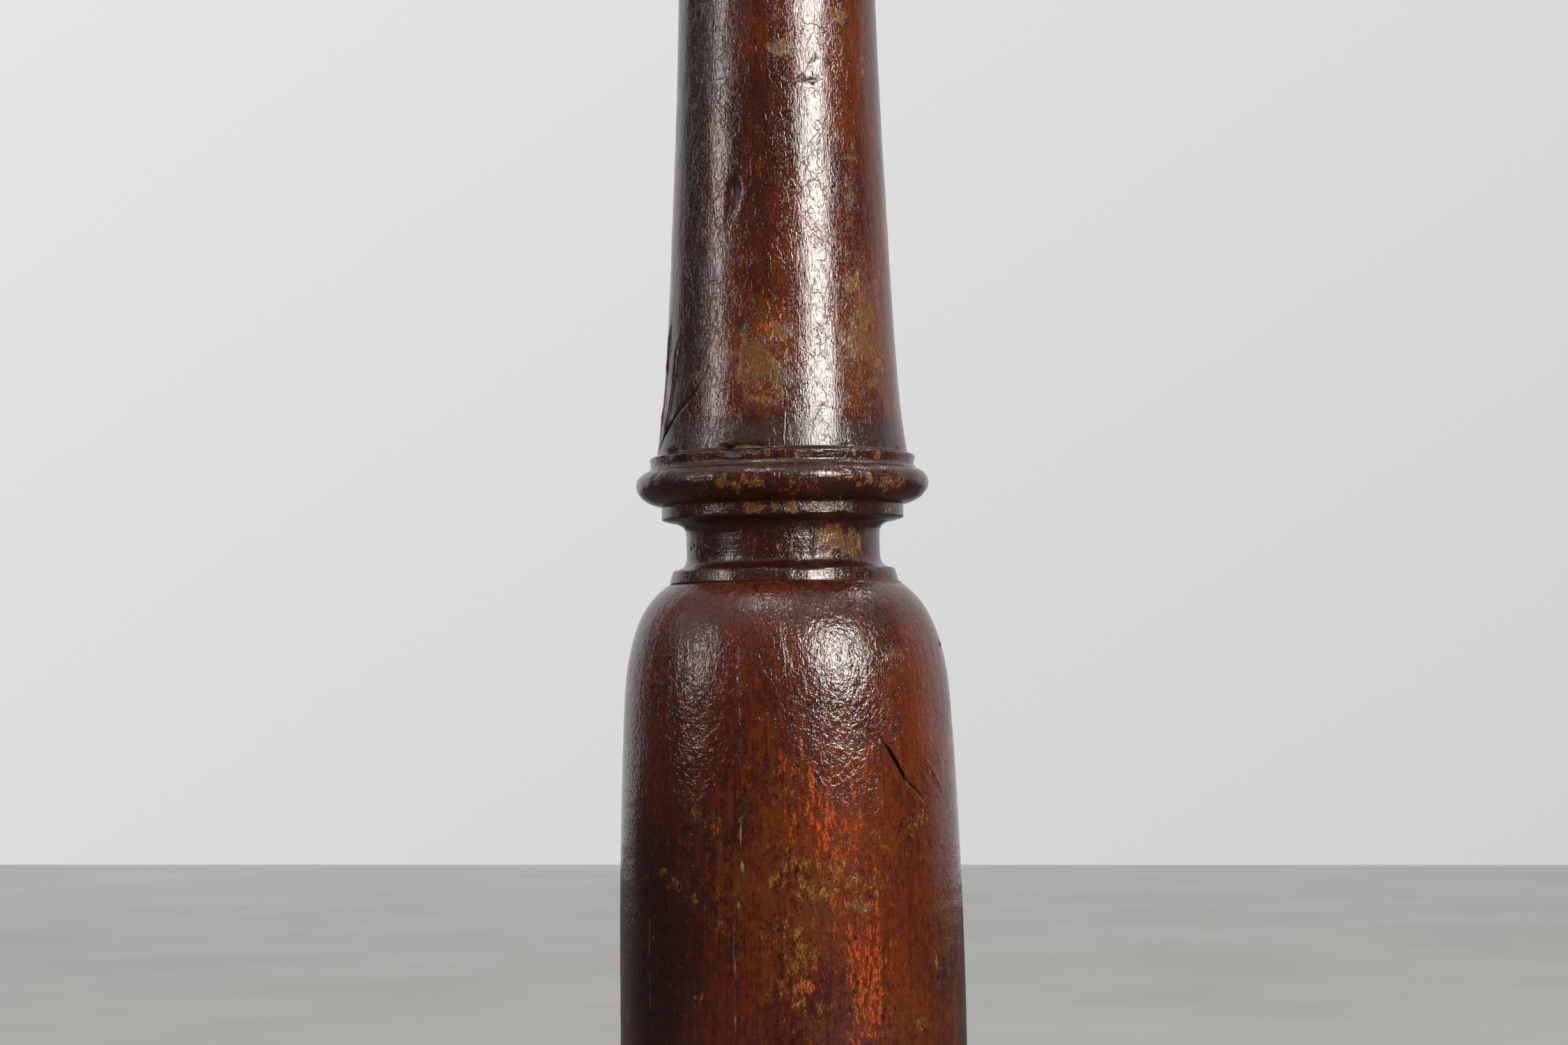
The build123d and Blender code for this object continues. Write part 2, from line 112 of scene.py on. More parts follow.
def resampled(points, step, fine, corner=16.0):
    """The outline as close points, smooth between its corners, and how sharp it is at each.

    step(radius, height) is the spacing wanted there, and None where the surface doesn't show.
    """
    bore = points[0, 0] > 0
    loop = np.vstack([points, points[:1]]) if bore else points
    dense, covered = [], []
    for a, b in zip(loop[:-1], loop[1:]):
        tries = a + (b - a) * np.linspace(0.01, 0.99, 200)[:, None]
        seen = [step(*p) is None for p in tries] if np.hypot(*(b - a)) > 3 * MM else [True]
        dense.append(a)
        for k in np.flatnonzero(np.diff(seen)):
            covered.append(len(dense))
            dense.append(tries[k + 1])
    loop = np.array([*dense, loop[-1]])
    along = np.diff(loop, axis=0)
    heading = np.unwrap(np.arctan2(along[:, 1], along[:, 0]))
    bend = np.degrees(np.diff(heading))
    turns = [i + 1 for i, b in enumerate(bend) if abs(b) > corner]
    corners = sorted({0, len(loop) - 1, *turns, *covered})
    rows = []
    for first, last in zip(corners[:-1], corners[1:]):
        run = loop[first : last + 1]
        chord = np.r_[0, np.cumsum(np.hypot(*np.diff(run, axis=0).T))]
        middle = run[len(run) // 2] if len(run) > 2 else run.mean(axis=0)
        spacing = step(*middle)
        if spacing is None:
            rows += [tuple(p) for p in run[:-1]]
            continue
        if len(run) > 2:
            slope = np.gradient(run, chord, axis=0)
        else:
            slope = np.repeat((run[1:] - run[:-1]) / chord[-1], 2, axis=0)
        place, stops = 0.0, [0.0]
        while place < chord[-1]:
            at = [np.interp(place, chord, run[:, k]) for k in (0, 1)]
            to_corner = min(place, chord[-1] - place)
            wide = step(*at) or spacing
            place += min(wide, fine + to_corner * 0.25)
            stops.append(place)
        stops = np.array(stops) * chord[-1] / stops[-1]
        part = np.clip(np.searchsorted(chord, stops, side="right") - 1, 0, len(run) - 2)
        length = (chord[part + 1] - chord[part])[:, None]
        t = (stops[:, None] - chord[part][:, None]) / length
        shape = (
            (2 * t**3 - 3 * t**2 + 1) * run[part]
            + (t**3 - 2 * t**2 + t) * length * slope[part]
            + (3 * t**2 - 2 * t**3) * run[part + 1]
            + (t**3 - t**2) * length * slope[part + 1]
        )
        rows += [tuple(p) for p in shape[:-1]]
    if not bore:
        rows.append(tuple(points[-1]))
    return np.array(rows)


def turning(
    name, points, step, skin, columns, fine=0.7 * MM, centre=(0.0, 0.0), checks=(), pits=(), bow=((0, 0),)
):
    """A closed turned solid from its outline, with its rows and columns closest where it needs them.

    skin(radius, height) is 1 on the surface that shows and 0 on hidden faces. The columns of
    vertices gather at each check, which is a dict with a path of (degrees, height) points, degrees
    counted from the front to the right, and a width, a depth and a raised lip. A pit is (degrees,
    height, half width, half height, depth, darkness), its darkness being its dirt and painted shadow
    inside. The inside of a check is darkened with dirt and painted shade too, unless the check is
    pale. The bow is (height, shift to the right) points.
    """
    rows = resampled(points, step, fine)
    bore = points[0, 0] > 0
    radius, height = rows.T
    shown = np.array([skin(r, z) for r, z in rows])
    ahead, behind = np.roll(rows, -1, axis=0) - rows, rows - np.roll(rows, 1, axis=0)
    turn = behind[:, 0] * ahead[:, 1] - behind[:, 1] * ahead[:, 0]
    reach = np.hypot(*ahead.T) * np.hypot(*behind.T) + 1e-12
    edge = np.degrees(np.arcsin(np.clip(turn / reach, -1, 1)))
    around = np.linspace(-pi, pi, 1441)
    angle = np.zeros((len(rows), columns))
    for i, (r, z) in enumerate(rows):
        crowd = np.ones_like(around)
        for check in checks:
            path = np.array(check["path"], float)
            path = path[np.argsort(path[:, 1])]
            beyond = max(path[0, 1] - z / MM, z / MM - path[-1, 1], 0.0)
            middle = radians(np.interp(z / MM, path[:, 1], path[:, 0]))
            narrow = max(r, 10 * MM) / (2.4 * MM)
            crowd += 5.0 * np.exp(-((beyond / 6.0) ** 2)) * np.exp(-(((around - middle) * narrow) ** 2))
        share = np.r_[0, np.cumsum((crowd[1:] + crowd[:-1]) / 2)]
        angle[i] = np.interp((np.arange(columns) + 0.5) / columns, share / share[-1], around)
    wide = np.repeat(radius[:, None], columns, axis=1)
    tall = np.repeat(height[:, None], columns, axis=1)
    split, chalk, sunk = np.zeros_like(wide), np.zeros_like(wide), np.zeros_like(wide)
    for check in checks:
        path = np.array(check["path"], float)
        tilt = tall / MM + 0.4 * angle * wide / MM
        waves = ((0.3, 7.3), (0.2, 2.9), (0.12, 1.3))
        wander = sum(MM * w * np.sin(tilt / s + 7 * s * path[0, 0]) for w, s in waves)
        near, part = unrolled_distance(path, angle, wide, tall, wander)
        taper = np.clip(np.sin(pi * np.clip(part, 0.02, 0.98)) * 2.2, 0, 1)
        swings = sum(np.sin(tilt / s + 3 * s + path[0, 0]) for s in (11.0, 5.3, 2.1)) / 3
        taper = taper * (1 - check.get("patchy", 0.3) * np.clip(0.5 + 1.4 * swings, 0, 1))
        half = check["width"] * MM / 2 * taper
        gap = np.clip(1 - near / np.maximum(half, 1e-6), 0, 1)
        swell = np.exp(-(((near - 1.7 * half) / (0.9 * MM)) ** 2)) * taper
        sunk += check["depth"] * MM * gap**0.6 - check.get("lip", 0.1) * MM * swell
        colour = np.clip(1.35 - near / np.maximum(half, 1e-6), 0, 1) * taper
        pale = check.get("pale", 0.0)
        chalk = np.maximum(chalk, colour * pale)
        # Dirt and painted shade darken the inside of the check.
        split = np.maximum(split, colour * (1 - pale))
    for degrees, level, half_wide, half_tall, depth, dirt_and_shadow in pits:
        swing = (angle - radians(degrees) + pi) % (2 * pi) - pi
        u, v = swing * wide / MM / half_wide, (tall / MM - level) / half_tall
        hollow = 1.25 - np.hypot(u, v) - 0.15 * np.sin(5 * u + 3 * v) - 0.12 * np.sin(8 * v - 4 * u)
        hollow = np.clip(hollow, 0, 1)
        hollow = hollow * hollow * (3 - 2 * hollow)
        sunk += depth * MM * hollow
        # Dirt and painted shadow darken the inside of the pit.
        split = np.maximum(split, dirt_and_shadow * hollow)
    wide = wide - sunk * shown[:, None]
    levels, shifts = np.array(bow, float).T
    x = centre[0] + wide * np.sin(angle) + shown[:, None] * np.interp(tall / MM, levels, shifts) * MM
    y = centre[1] - wide * np.cos(angle)
    closed = not bore
    inner = slice(1, -1) if closed else slice(None)
    places = np.stack([x, y, tall], axis=2)[inner].reshape(-1, 3)
    count = len(rows[inner])
    grid = np.arange(count * columns).reshape(count, columns)
    low, high = (grid[:-1], grid[1:]) if closed else (grid, np.roll(grid, -1, axis=0))
    quads = np.stack([low, np.roll(low, -1, 1), np.roll(high, -1, 1), high], axis=2).reshape(-1, 4)
    faces = quads.tolist()
    if closed:
        foot, crown = len(places), len(places) + 1
        places = np.vstack([places, (*centre, height[0]), (*centre, height[-1])])
        faces += [(foot, b, a) for a, b in zip(grid[0].tolist(), np.roll(grid[0], -1).tolist())]
        faces += [(crown, a, b) for a, b in zip(grid[-1].tolist(), np.roll(grid[-1], -1).tolist())]
    mesh = bpy.data.meshes.new(name)
    mesh.from_pydata(places.tolist(), [], faces)
    mesh.polygons.foreach_set("use_smooth", np.ones(len(mesh.polygons), bool))
    piece = bpy.data.objects.new(name, mesh)
    bpy.context.scene.collection.objects.link(piece)
    fields = {
        "skin": np.repeat(shown[:, None], columns, 1),
        "edge": np.clip(np.repeat(edge[:, None], columns, 1) / 25.0, -1, 1),
        "split": split,
        "chalk": chalk,
        "around": angle,
        "away": np.repeat(radius[:, None], columns, 1),
    }
    for field, values in fields.items():
        flat = values[inner].ravel()
        if closed:
            flat = np.r_[flat, 0.0, 0.0]
        store(piece, field, flat)
    return piece


def unrolled_distance(path, angle, wide, tall, wander):
    """How far each vertex is from a path drawn on the unrolled surface, and how far along it."""
    lengths = np.hypot(np.diff(path[:, 1]), np.diff(path[:, 0]) * 1.2)
    begins = np.r_[0, np.cumsum(lengths)]
    nearest = np.full_like(wide, 1.0)
    part = np.zeros_like(wide)
    for (a, b), length, begin in zip(zip(path[:-1], path[1:]), lengths, begins):
        run_u, run_v = radians(b[0] - a[0]) * wide, (b[1] - a[1]) * MM
        u, v = (angle - radians(a[0])) * wide + wander, tall - a[1] * MM
        t = np.clip((u * run_u + v * run_v) / (run_u**2 + run_v**2 + 1e-12), 0, 1)
        away = np.hypot(u - t * run_u, v - t * run_v)
        closer = away < nearest
        nearest = np.where(closer, away, nearest)
        part = np.where(closer, (begin + t * length) / begins[-1], part)
    return nearest, part


def store(piece, field, values):
    """Keeps one number for each vertex on the piece, for its material to read."""
    layer = piece.data.attributes.get(field) or piece.data.attributes.new(field, "FLOAT", "POINT")
    layer.data.foreach_set("value", np.asarray(values, np.float32))


def fetch(piece, field):
    """The numbers that store kept, or zeros if it has kept none yet."""
    if field not in piece.data.attributes:
        return np.zeros(len(piece.data.vertices))
    values = np.zeros(len(piece.data.vertices), np.float32)
    piece.data.attributes[field].data.foreach_get("value", values)
    return values


def vertex_places(piece):
    """Where each vertex of a piece is."""
    flat = np.zeros(len(piece.data.vertices) * 3, np.float32)
    piece.data.vertices.foreach_get("co", flat)
    return flat.reshape(-1, 3)


def daub(piece, field, *patches):
    """Adds soft patches to a stored field, each with a ragged outline, so that none is an ellipse.

    A patch is (degrees from the front, height, half width, half height, strength), in millimetres.
    """
    around, away = fetch(piece, "around"), fetch(piece, "away")
    tall = vertex_places(piece)[:, 2] / MM
    total = fetch(piece, field)
    for degrees, height, half_wide, half_tall, strength in patches:
        swing = (around - radians(degrees) + pi) % (2 * pi) - pi
        u, v = swing * away / MM / half_wide, (tall - height) / half_tall
        ragged = 0.22 * np.sin(5.1 * u + 3.3 * v + degrees) + 0.18 * np.sin(7.7 * v - 4.3 * u + height)
        total = total + strength * np.clip(1.6 - 1.5 * (np.hypot(u, v) + ragged * 0.6), 0, 1)
    store(piece, field, np.clip(total, -1, 1.5))


def band(piece, field, low, high, strength, soft=2.0):
    """Adds a soft ring between two heights in millimetres to a stored field."""
    tall = vertex_places(piece)[:, 2] / MM
    total = fetch(piece, field)
    ring = np.clip((tall - low) / soft + 0.5, 0, 1) * np.clip((high - tall) / soft + 0.5, 0, 1)
    store(piece, field, np.clip(total + strength * ring, -1, 1.5))


def scattered(seed, count, heights, widths, talls, strengths, around=(-180, 180)):
    """Random patches for daub, between these limits."""
    random = np.random.default_rng(seed)
    limits = (around, heights, widths, talls, strengths)
    return [tuple(random.uniform(*limit) for limit in limits) for _ in range(count)]


def linear(code):
    """A material colour from its sRGB hex code."""
    parts = [int(code[i : i + 2], 16) / 255 for i in (1, 3, 5)]
    return (*[c / 12.92 if c <= 0.04045 else ((c + 0.055) / 1.055) ** 2.4 for c in parts], 1.0)


def put(tree, kind, inputs=(), **settings):
    """Adds a node with its settings. Each input is a value, or another node's output to link."""
    node = tree.nodes.new(kind)
    for name, value in settings.items():
        setattr(node, name, value)
    for key, value in dict(inputs).items():
        if isinstance(value, bpy.types.NodeSocket):
            tree.links.new(value, node.inputs[key])
        else:
            node.inputs[key].default_value = value
    return node


def maths(tree, a, b, operation="ADD"):
    """The sum of two numbers, or of two nodes' outputs, or another operation on them."""
    return put(tree, "ShaderNodeMath", {0: a, 1: b}, operation=operation).outputs[0]


def mixed(tree, share, under, over):
    """One colour laid over another, each a hex code or a node's output."""
    under, over = (linear(c) if isinstance(c, str) else c for c in (under, over))
    return put(tree, "ShaderNodeMix", {0: share, 6: under, 7: over}, data_type="RGBA").outputs[2]


def aged_lacquer(name, stretch_by):
    """Aged shellac over worn oil paint on wood: brushed on, rubbed through, crazed and dusty.

    It gives a dark red-brown gloss over ember red and ochre coats, and where the piece was never
    painted, bare dull wood. Some of its fields also paint shade and sheen into the colour.
    stretch_by(amount) is the scale that draws a pattern out along the grain.
    """
    material = bpy.data.materials.new(name)
    material.use_nodes = True
    tree = material.node_tree
    tree.nodes.clear()
    add, coat = partial(maths, tree), partial(mixed, tree)
    where = put(tree, "ShaderNodeTexCoord").outputs["Object"]

    def noise(size, stretch=1.0, detail=4.0, rough=0.6, seed=0.0, twist=0.0, at=where):
        scaled = put(tree, "ShaderNodeMapping", {"Vector": at, "Scale": stretch_by(stretch)}).outputs[0]
        inputs = {
            "Vector": scaled,
            "W": seed,
            "Scale": 1 / (size * MM),
            "Detail": detail,
            "Roughness": rough,
            "Distortion": twist,
        }
        return put(tree, "ShaderNodeTexNoise", inputs, noise_dimensions="4D").outputs["Fac"]

    def field(name):
        return put(tree, "ShaderNodeAttribute", attribute_name=name).outputs["Fac"]

    def total(*parts):
        whole = add(parts[0][0], parts[0][1], "MULTIPLY")
        for value, weight in parts[1:]:
            inputs = {0: value, 1: weight, 2: whole}
            whole = put(tree, "ShaderNodeMath", inputs, operation="MULTIPLY_ADD").outputs[0]
        return whole

    def ease(value, low, high, top=1.0):
        inputs = {"Value": value, "From Min": low, "From Max": high, "To Max": top}
        return put(tree, "ShaderNodeMapRange", inputs, interpolation_type="SMOOTHSTEP").outputs[0]

    cloud = noise(52, 1.7, 3, 0.55, 1.0)
    other = noise(30, 1.4, 3, 0.55, 12.0)
    hair = noise(0.55, 34, 3, 0.6, 4.0)
    streak = noise(2.6, 14, 4, 0.65, 3.0)
    mottle = noise(3.0, 1.5, 5, 0.72, 5.0)
    patch = noise(10, 1.3, 5, 0.68, 6.0)
    grit = noise(0.8, 2.2, 3, 0.65, 9.0)
    dash = noise(1.7, 3.2, 4, 0.7, 10.0)
    warm, worn, ember = field("warm"), field("worn"), field("ember")
    soot, split, edge = field("soot"), field("split"), field("edge")
    chalk, rings, peel = field("chalk"), field("rings"), field("peel")
    lively = add(1.0, add(field("calm"), 0.65, "MULTIPLY"), "SUBTRACT")

    # The shellac: maroon where it is thick, red-brown and olive where it is thin. Made darker down the
    # left side it is painted shade, and made darker over the column's ring zone it is partly painted shade.
    tone = total((cloud, 0.28), (mottle, 0.28), (hair, 0.26), (streak, 0.18), (warm, 0.10))
    colour = coat(ease(tone, 0.37, 0.61), "#200b06", "#451a08")
    tone = total((other, 0.34), (mottle, 0.30), (streak, 0.22), (hair, 0.14), (warm, 0.12))
    colour = coat(ease(tone, 0.48, 0.66, 0.85), colour, "#582308")
    tone = total((cloud, -0.25), (other, 0.30), (mottle, 0.45), (streak, 0.45), (worn, 0.05), (warm, 0.07))
    colour = coat(ease(tone, 0.49, 0.61, 0.6), colour, "#38230a")

    # The ember red coat, which shows in upright scrapes.
    tone = total((ember, 0.15), (streak, 0.28), (dash, 0.52), (mottle, 0.20))
    glow = ease(tone, 0.585, 0.65, 0.92)
    colour = coat(glow, colour, coat(ease(grit, 0.4, 0.6), "#551a03", "#a33f09"))

    # The ochre ground, in flaked patches with pale broken rims.
    tone = total(
        (worn, 0.18), (patch, 0.14), (mottle, 0.28), (dash, 0.32), (streak, 0.16), (grit, 0.10),
        (edge, 0.03),
    )
    bare = ease(tone, 0.56, 0.645, 0.85)
    rim = add(ease(tone, 0.60, 0.63), ease(tone, 0.64, 0.69), "SUBTRACT")
    ochre = coat(ease(grit, 0.36, 0.64), "#36200a", "#5f3c13")
    colour = coat(bare, colour, ochre)
    gilt = add(rim, ease(add(mottle, grit), 0.98, 1.2), "MULTIPLY")
    colour = coat(gilt, colour, "#755527")
    specks = total((grit, 0.6), (mottle, 0.4))
    flecks = ease(specks, 0.57, 0.65, 0.6)
    colour = coat(flecks, colour, "#5f3f1a")

    # Dirt in the pores round the scrapes; a grey-brown veil, more of it in hollow corners and less on
    # sharp edges, which is grime where scattered, painted sheen down the left side and painted shade in
    # grooves and where parts meet; the checks and chips, darkened inside by dirt and painted shade; and
    # old pale filler.
    scraped = add(add(worn, ember), 0.42, "ADD")
    pores = add(ease(specks, 0.48, 0.39), ease(scraped, 0.0, 0.9, 0.85), "MULTIPLY")
    colour = coat(pores, colour, "#0c0503")
    greying = total((edge, -0.35), (soot, 0.7), (hair, 0.35), (mottle, 0.45))
    colour = coat(ease(greying, 0.50, 1.05, 0.85), colour, "#2b1f1a")
    colour = coat(ease(split, 0.15, 0.8), colour, "#060302")
    filler = ease(total((chalk, 0.8), (grit, 0.7)), 0.62, 0.9, 0.85)
    colour = coat(filler, colour, coat(mottle, "#30241a", "#7c6850"))

    # Never painted: the joints and the undersides.
    raw = ease(field("skin"), 0.015, 0.005)
    lot = noise(3.0, 18, 4, 0.65, add(field("lot"), 20.0))
    wood = coat(ease(total((hair, 0.3), (lot, 0.7)), 0.38, 0.62), "#5a4229", "#94754e")
    wood = coat(ease(noise(26, 2, 3, 0.6, add(field("lot"), 30.0)), 0.45, 0.7, 0.6), wood, "#44321f")
    colour = coat(raw, colour, wood)

    # The relief of the skin: wrinkles drawn out along the grain, orange peel, crawl lines and the
    # rings that the lathe left.
    inputs = {"Vector": where, "Scale": 1 / (5 * MM), "Detail": 2.0}
    wander = put(tree, "ShaderNodeTexNoise", inputs).outputs["Color"]
    bent = put(
        tree, "ShaderNodeVectorMath", {0: wander, 1: (7 * MM,) * 3, 2: where}, operation="MULTIPLY_ADD"
    )
    cell = put(tree, "ShaderNodeMapping", {"Vector": bent.outputs[0], "Scale": stretch_by(1.9)}).outputs[0]
    inputs = {"Vector": cell, "Scale": 1 / (5.5 * MM)}
    crawl = put(tree, "ShaderNodeTexVoronoi", inputs, feature="DISTANCE_TO_EDGE").outputs["Distance"]
    crawl = add(ease(crawl, 0.07, 0.0), ease(noise(11, 1.5, 2, 0.6, 15.0), 0.46, 0.56), "MULTIPLY")
    wrinkle = noise(0.95, 4.0, 2, 0.55, 8.0)
    orange = noise(2.3, 1.2, 2, 0.55, 7.0, 0.4)
    swell = noise(7.0, 2.2, 1, 0.5, 14.0)
    turned = put(tree, "ShaderNodeMapping", {"Vector": where, "Scale": (0.02, 0.02, 1)}).outputs[0]
    inputs = {"Vector": turned, "Scale": 1 / (0.9 * MM), "Detail": 3.0, "Roughness": 0.7}
    turned = put(tree, "ShaderNodeTexNoise", inputs).outputs["Fac"]
    height = total(
        (add(wrinkle, lively, "MULTIPLY"), 0.55),
        (add(swell, lively, "MULTIPLY"), 1.3),
        (add(orange, peel, "MULTIPLY"), 1.3),
        (add(crawl, lively, "MULTIPLY"), -0.28),
        (add(bare, lively, "MULTIPLY"), -0.30),
        (add(pores, lively, "MULTIPLY"), -0.34),
        (filler, 0.3),
        (add(turned, rings, "MULTIPLY"), 0.8),
    )
    bump = put(tree, "ShaderNodeBump", {"Strength": 1.0, "Distance": 0.28 * MM, "Height": height})
    rough = total((ease(mottle, 0.4, 0.7), 0.03), (bare, 0.04), (ease(soot, 0.0, 1.0), 0.08), (split, 0.4))
    rough = add(add(rough, 0.12), add(raw, 0.5, "MULTIPLY"))
    inputs = {"Base Color": colour, "Roughness": rough, "IOR": 1.5, "Normal": bump.outputs[0]}
    shader = put(tree, "ShaderNodeBsdfPrincipled", inputs)
    put(tree, "ShaderNodeOutputMaterial", {"Surface": shader.outputs[0]})
    return material


UPRIGHT = aged_lacquer("aged shellac over oil paint, upright grain", lambda s: (1, 1, 1 / s))
BOARD = aged_lacquer("aged shellac over oil paint, board grain", lambda s: (1, 1 / s, 1))
BOARD_GRAIN = (1.0, 0.05, 1.0)


def tree_with_inputs(name, sockets):
    """A geometry node tree with these inputs, and its input node's outputs.

    Each input is (name, kind), or (name, kind, first value).
    """
    tree = bpy.data.node_groups.new(name, "GeometryNodeTree")
    for title, kind, *value in sockets:
        socket = tree.interface.new_socket(title, in_out="INPUT", socket_type=kind)
        if value:
            socket.default_value = value[0]
    tree.interface.new_socket("Geometry", in_out="OUTPUT", socket_type="NodeSocketGeometry")
    return tree, put(tree, "NodeGroupInput").outputs


def end_with_material(tree, geometry, material):
    """Ends a node tree: a plain mesh with its material."""
    plain = put(tree, "GeometryNodeRealizeInstances", {"Geometry": geometry})
    inputs = {"Geometry": plain.outputs[0], "Material": material}
    painted = put(tree, "GeometryNodeSetMaterial", inputs)
    put(tree, "NodeGroupOutput", {"Geometry": painted.outputs[0]})


def weathering():
    """The node tree that ages a turned piece: out of true, with raised grain and knocked edges."""
    sockets = [
        ("Geometry", "NodeSocketGeometry"),
        ("Waviness", "NodeSocketFloat", 0.25 * MM),
        ("Wave length", "NodeSocketFloat", 34 * MM),
        ("Raised grain", "NodeSocketFloat", 0.07 * MM),
        ("Grain width", "NodeSocketFloat", 3.2 * MM),
        ("Grain run", "NodeSocketVector", (1, 1, 0.06)),
        ("Wrinkle", "NodeSocketFloat", 0.04 * MM),
        ("Wrinkle size", "NodeSocketFloat", 4.2 * MM),
        ("Edge wear", "NodeSocketFloat", 0.9 * MM),
        ("Knock size", "NodeSocketFloat", 7.0 * MM),
        ("Seed", "NodeSocketFloat", 0.0),
        ("Material", "NodeSocketMaterial"),
    ]
    tree, given = tree_with_inputs("weathered turning", sockets)
    where = put(tree, "GeometryNodeInputPosition").outputs[0]
    sum_of = partial(maths, tree)

    def attribute(name):
        return put(tree, "GeometryNodeInputNamedAttribute", {"Name": name}, data_type="FLOAT").outputs[0]

    def relief(size, detail, run=(1, 1, 0.8)):
        along = put(tree, "ShaderNodeVectorMath", {0: where, 1: run}, operation="MULTIPLY")
        scale = sum_of(1.0, size, "DIVIDE")
        inputs = {"Vector": along.outputs[0], "W": given["Seed"], "Scale": scale, "Detail": detail}
        return put(tree, "ShaderNodeTexNoise", inputs, noise_dimensions="4D").outputs["Fac"]

    wave = sum_of(sum_of(relief(given["Wave length"], 1.0), 0.5, "SUBTRACT"), given["Waviness"], "MULTIPLY")
    grain = sum_of(relief(given["Grain width"], 2.0, given["Grain run"]), 0.5, "SUBTRACT")
    grain = sum_of(grain, given["Raised grain"], "MULTIPLY")
    skin = sum_of(sum_of(relief(given["Wrinkle size"], 1.0), 0.5, "SUBTRACT"), given["Wrinkle"], "MULTIPLY")
    grain = sum_of(grain, skin)
    inputs = {"Value": relief(given["Knock size"], 3.0), "From Min": 0.5, "From Max": 0.72}
    knock = put(tree, "ShaderNodeMapRange", inputs).outputs[0]
    corner = put(tree, "ShaderNodeMapRange", {"Value": attribute("edge"), "From Min": 0.05}).outputs[0]
    knock = sum_of(sum_of(knock, corner, "MULTIPLY"), given["Edge wear"], "MULTIPLY")
    rise = sum_of(sum_of(sum_of(wave, grain), 2.0, "MULTIPLY"), knock, "SUBTRACT")
    rise = sum_of(rise, attribute("skin"), "MULTIPLY")
    out = put(tree, "GeometryNodeInputNormal").outputs[0]
    shift = put(tree, "ShaderNodeVectorMath", {0: out, "Scale": rise}, operation="SCALE").outputs[0]
    moved = put(tree, "GeometryNodeSetPosition", {"Geometry": given["Geometry"], "Offset": shift})
    end_with_material(tree, moved.outputs[0], given["Material"])
    return tree


WEATHERING = weathering()


def finished(piece, tree, **values):
    """Runs a node tree on a piece with these inputs and leaves it a plain mesh."""
    modifier = piece.modifiers.new(tree.name, "NODES")
    modifier.node_group = tree
    for item in tree.interface.items_tree:
        key = item.name.lower().replace(" ", "_")
        if item.in_out == "INPUT" and key in values:
            modifier[item.identifier] = values[key]
    seen = piece.evaluated_get(bpy.context.evaluated_depsgraph_get())
    made = bpy.data.meshes.new_from_object(seen)
    piece.modifiers.remove(modifier)
    old, piece.data = piece.data, made
    bpy.data.meshes.remove(old)
    made.name = piece.name


def placed(piece, node, body="stick"):
    """Hands a finished piece to the frame in a CAD node's place."""
    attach(piece, body)
    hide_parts(node)


def wooden(piece, node, seed, material=UPRIGHT, **wear):
    """Ages a turned piece, lacquers it and puts it in a node's place."""
    store(piece, "lot", np.full(len(piece.data.vertices), seed * 0.37))
    finished(piece, WEATHERING, seed=float(seed), material=material, **wear)
    placed(piece, node)


for number in range(1, 5):
    low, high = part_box(f"foot_{number}")
    middle = ((low.x + high.x) / 2, (low.y + high.y) / 2)
    plinth_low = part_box("plinth_board_middle")[0].z
    foot = turning(
        f"bun_foot_{number}",
        section(f"foot_{number}", 45, middle),
        step=lambda r, z: 1.6 * MM if z < plinth_low - 0.5 * MM else None,
        skin=lambda r, z: float(0.5 * MM < z < plinth_low - 0.5 * MM),
        columns=120,
        fine=0.6 * MM,
        centre=middle,
    )
    daub(foot, "worn", *scattered(number, 7, (4, 22), (5, 14), (2, 6), (0.4, 1.0)))
    # Painted shade: the tops of the feet, under the plinth, get the grey veil.
    band(foot, "soot", 25, 35, 0.7)
    band(foot, "rings", 3, 31, 0.6)
    wooden(foot, f"foot_{number}", number, wrinkle=0.02 * MM, waviness=0.3 * MM)


# ---- plinth --------------------------------------------------------------------------------------
# A disc with a moulded edge, glued up from three boards and turned on the faceplate. The boards have
# shrunk a little since, so their two seams show. Its underside was never painted.
def drilled(piece, *cutters, keep=False):
    """Leaves the piece less its cutters, or only what lies inside them, and uses the cutters up.

    A cut can turn a shape inside out and leave slivers, so the result is merged and turned outwards.
    A face with very many corners, such as a board's seam, is fanned from its middle.
    """
    for cutter in cutters:
        modifier = piece.modifiers.new("cut", "BOOLEAN")
        modifier.object = cutter
        modifier.operation = "INTERSECT" if keep else "DIFFERENCE"
        modifier.solver = "EXACT"
    made = bpy.data.meshes.new_from_object(piece.evaluated_get(bpy.context.evaluated_depsgraph_get()))
    piece.modifiers.clear()
    very_many = 60
    shape = bmesh.new()
    shape.from_mesh(made)
    bmesh.ops.remove_doubles(shape, verts=shape.verts, dist=0.001 * MM)
    bmesh.ops.recalc_face_normals(shape, faces=shape.faces)
    bmesh.ops.poke(shape, faces=[face for face in shape.faces if len(face.verts) > very_many])
    rest = [face for face in shape.faces if len(face.verts) > 4]
    bmesh.ops.triangulate(shape, faces=rest, ngon_method="BEAUTY")
    shape.to_mesh(made)
    shape.free()
    old, piece.data = piece.data, made
    bpy.data.meshes.remove(old)
    made.name = piece.name
    for cutter in cutters:
        shape = cutter.data
        bpy.data.objects.remove(cutter)
        bpy.data.meshes.remove(shape)


def block(low, high):
    """A box between two corners, to cut with."""
    shape = bmesh.new()
    bmesh.ops.create_cube(shape, size=1.0)
    size = Vector(high) - Vector(low)
    for vertex in shape.verts:
        vertex.co = Vector(low) + Vector(a * (b + 0.5) for a, b in zip(size, vertex.co))
    return loose(shape, "block")


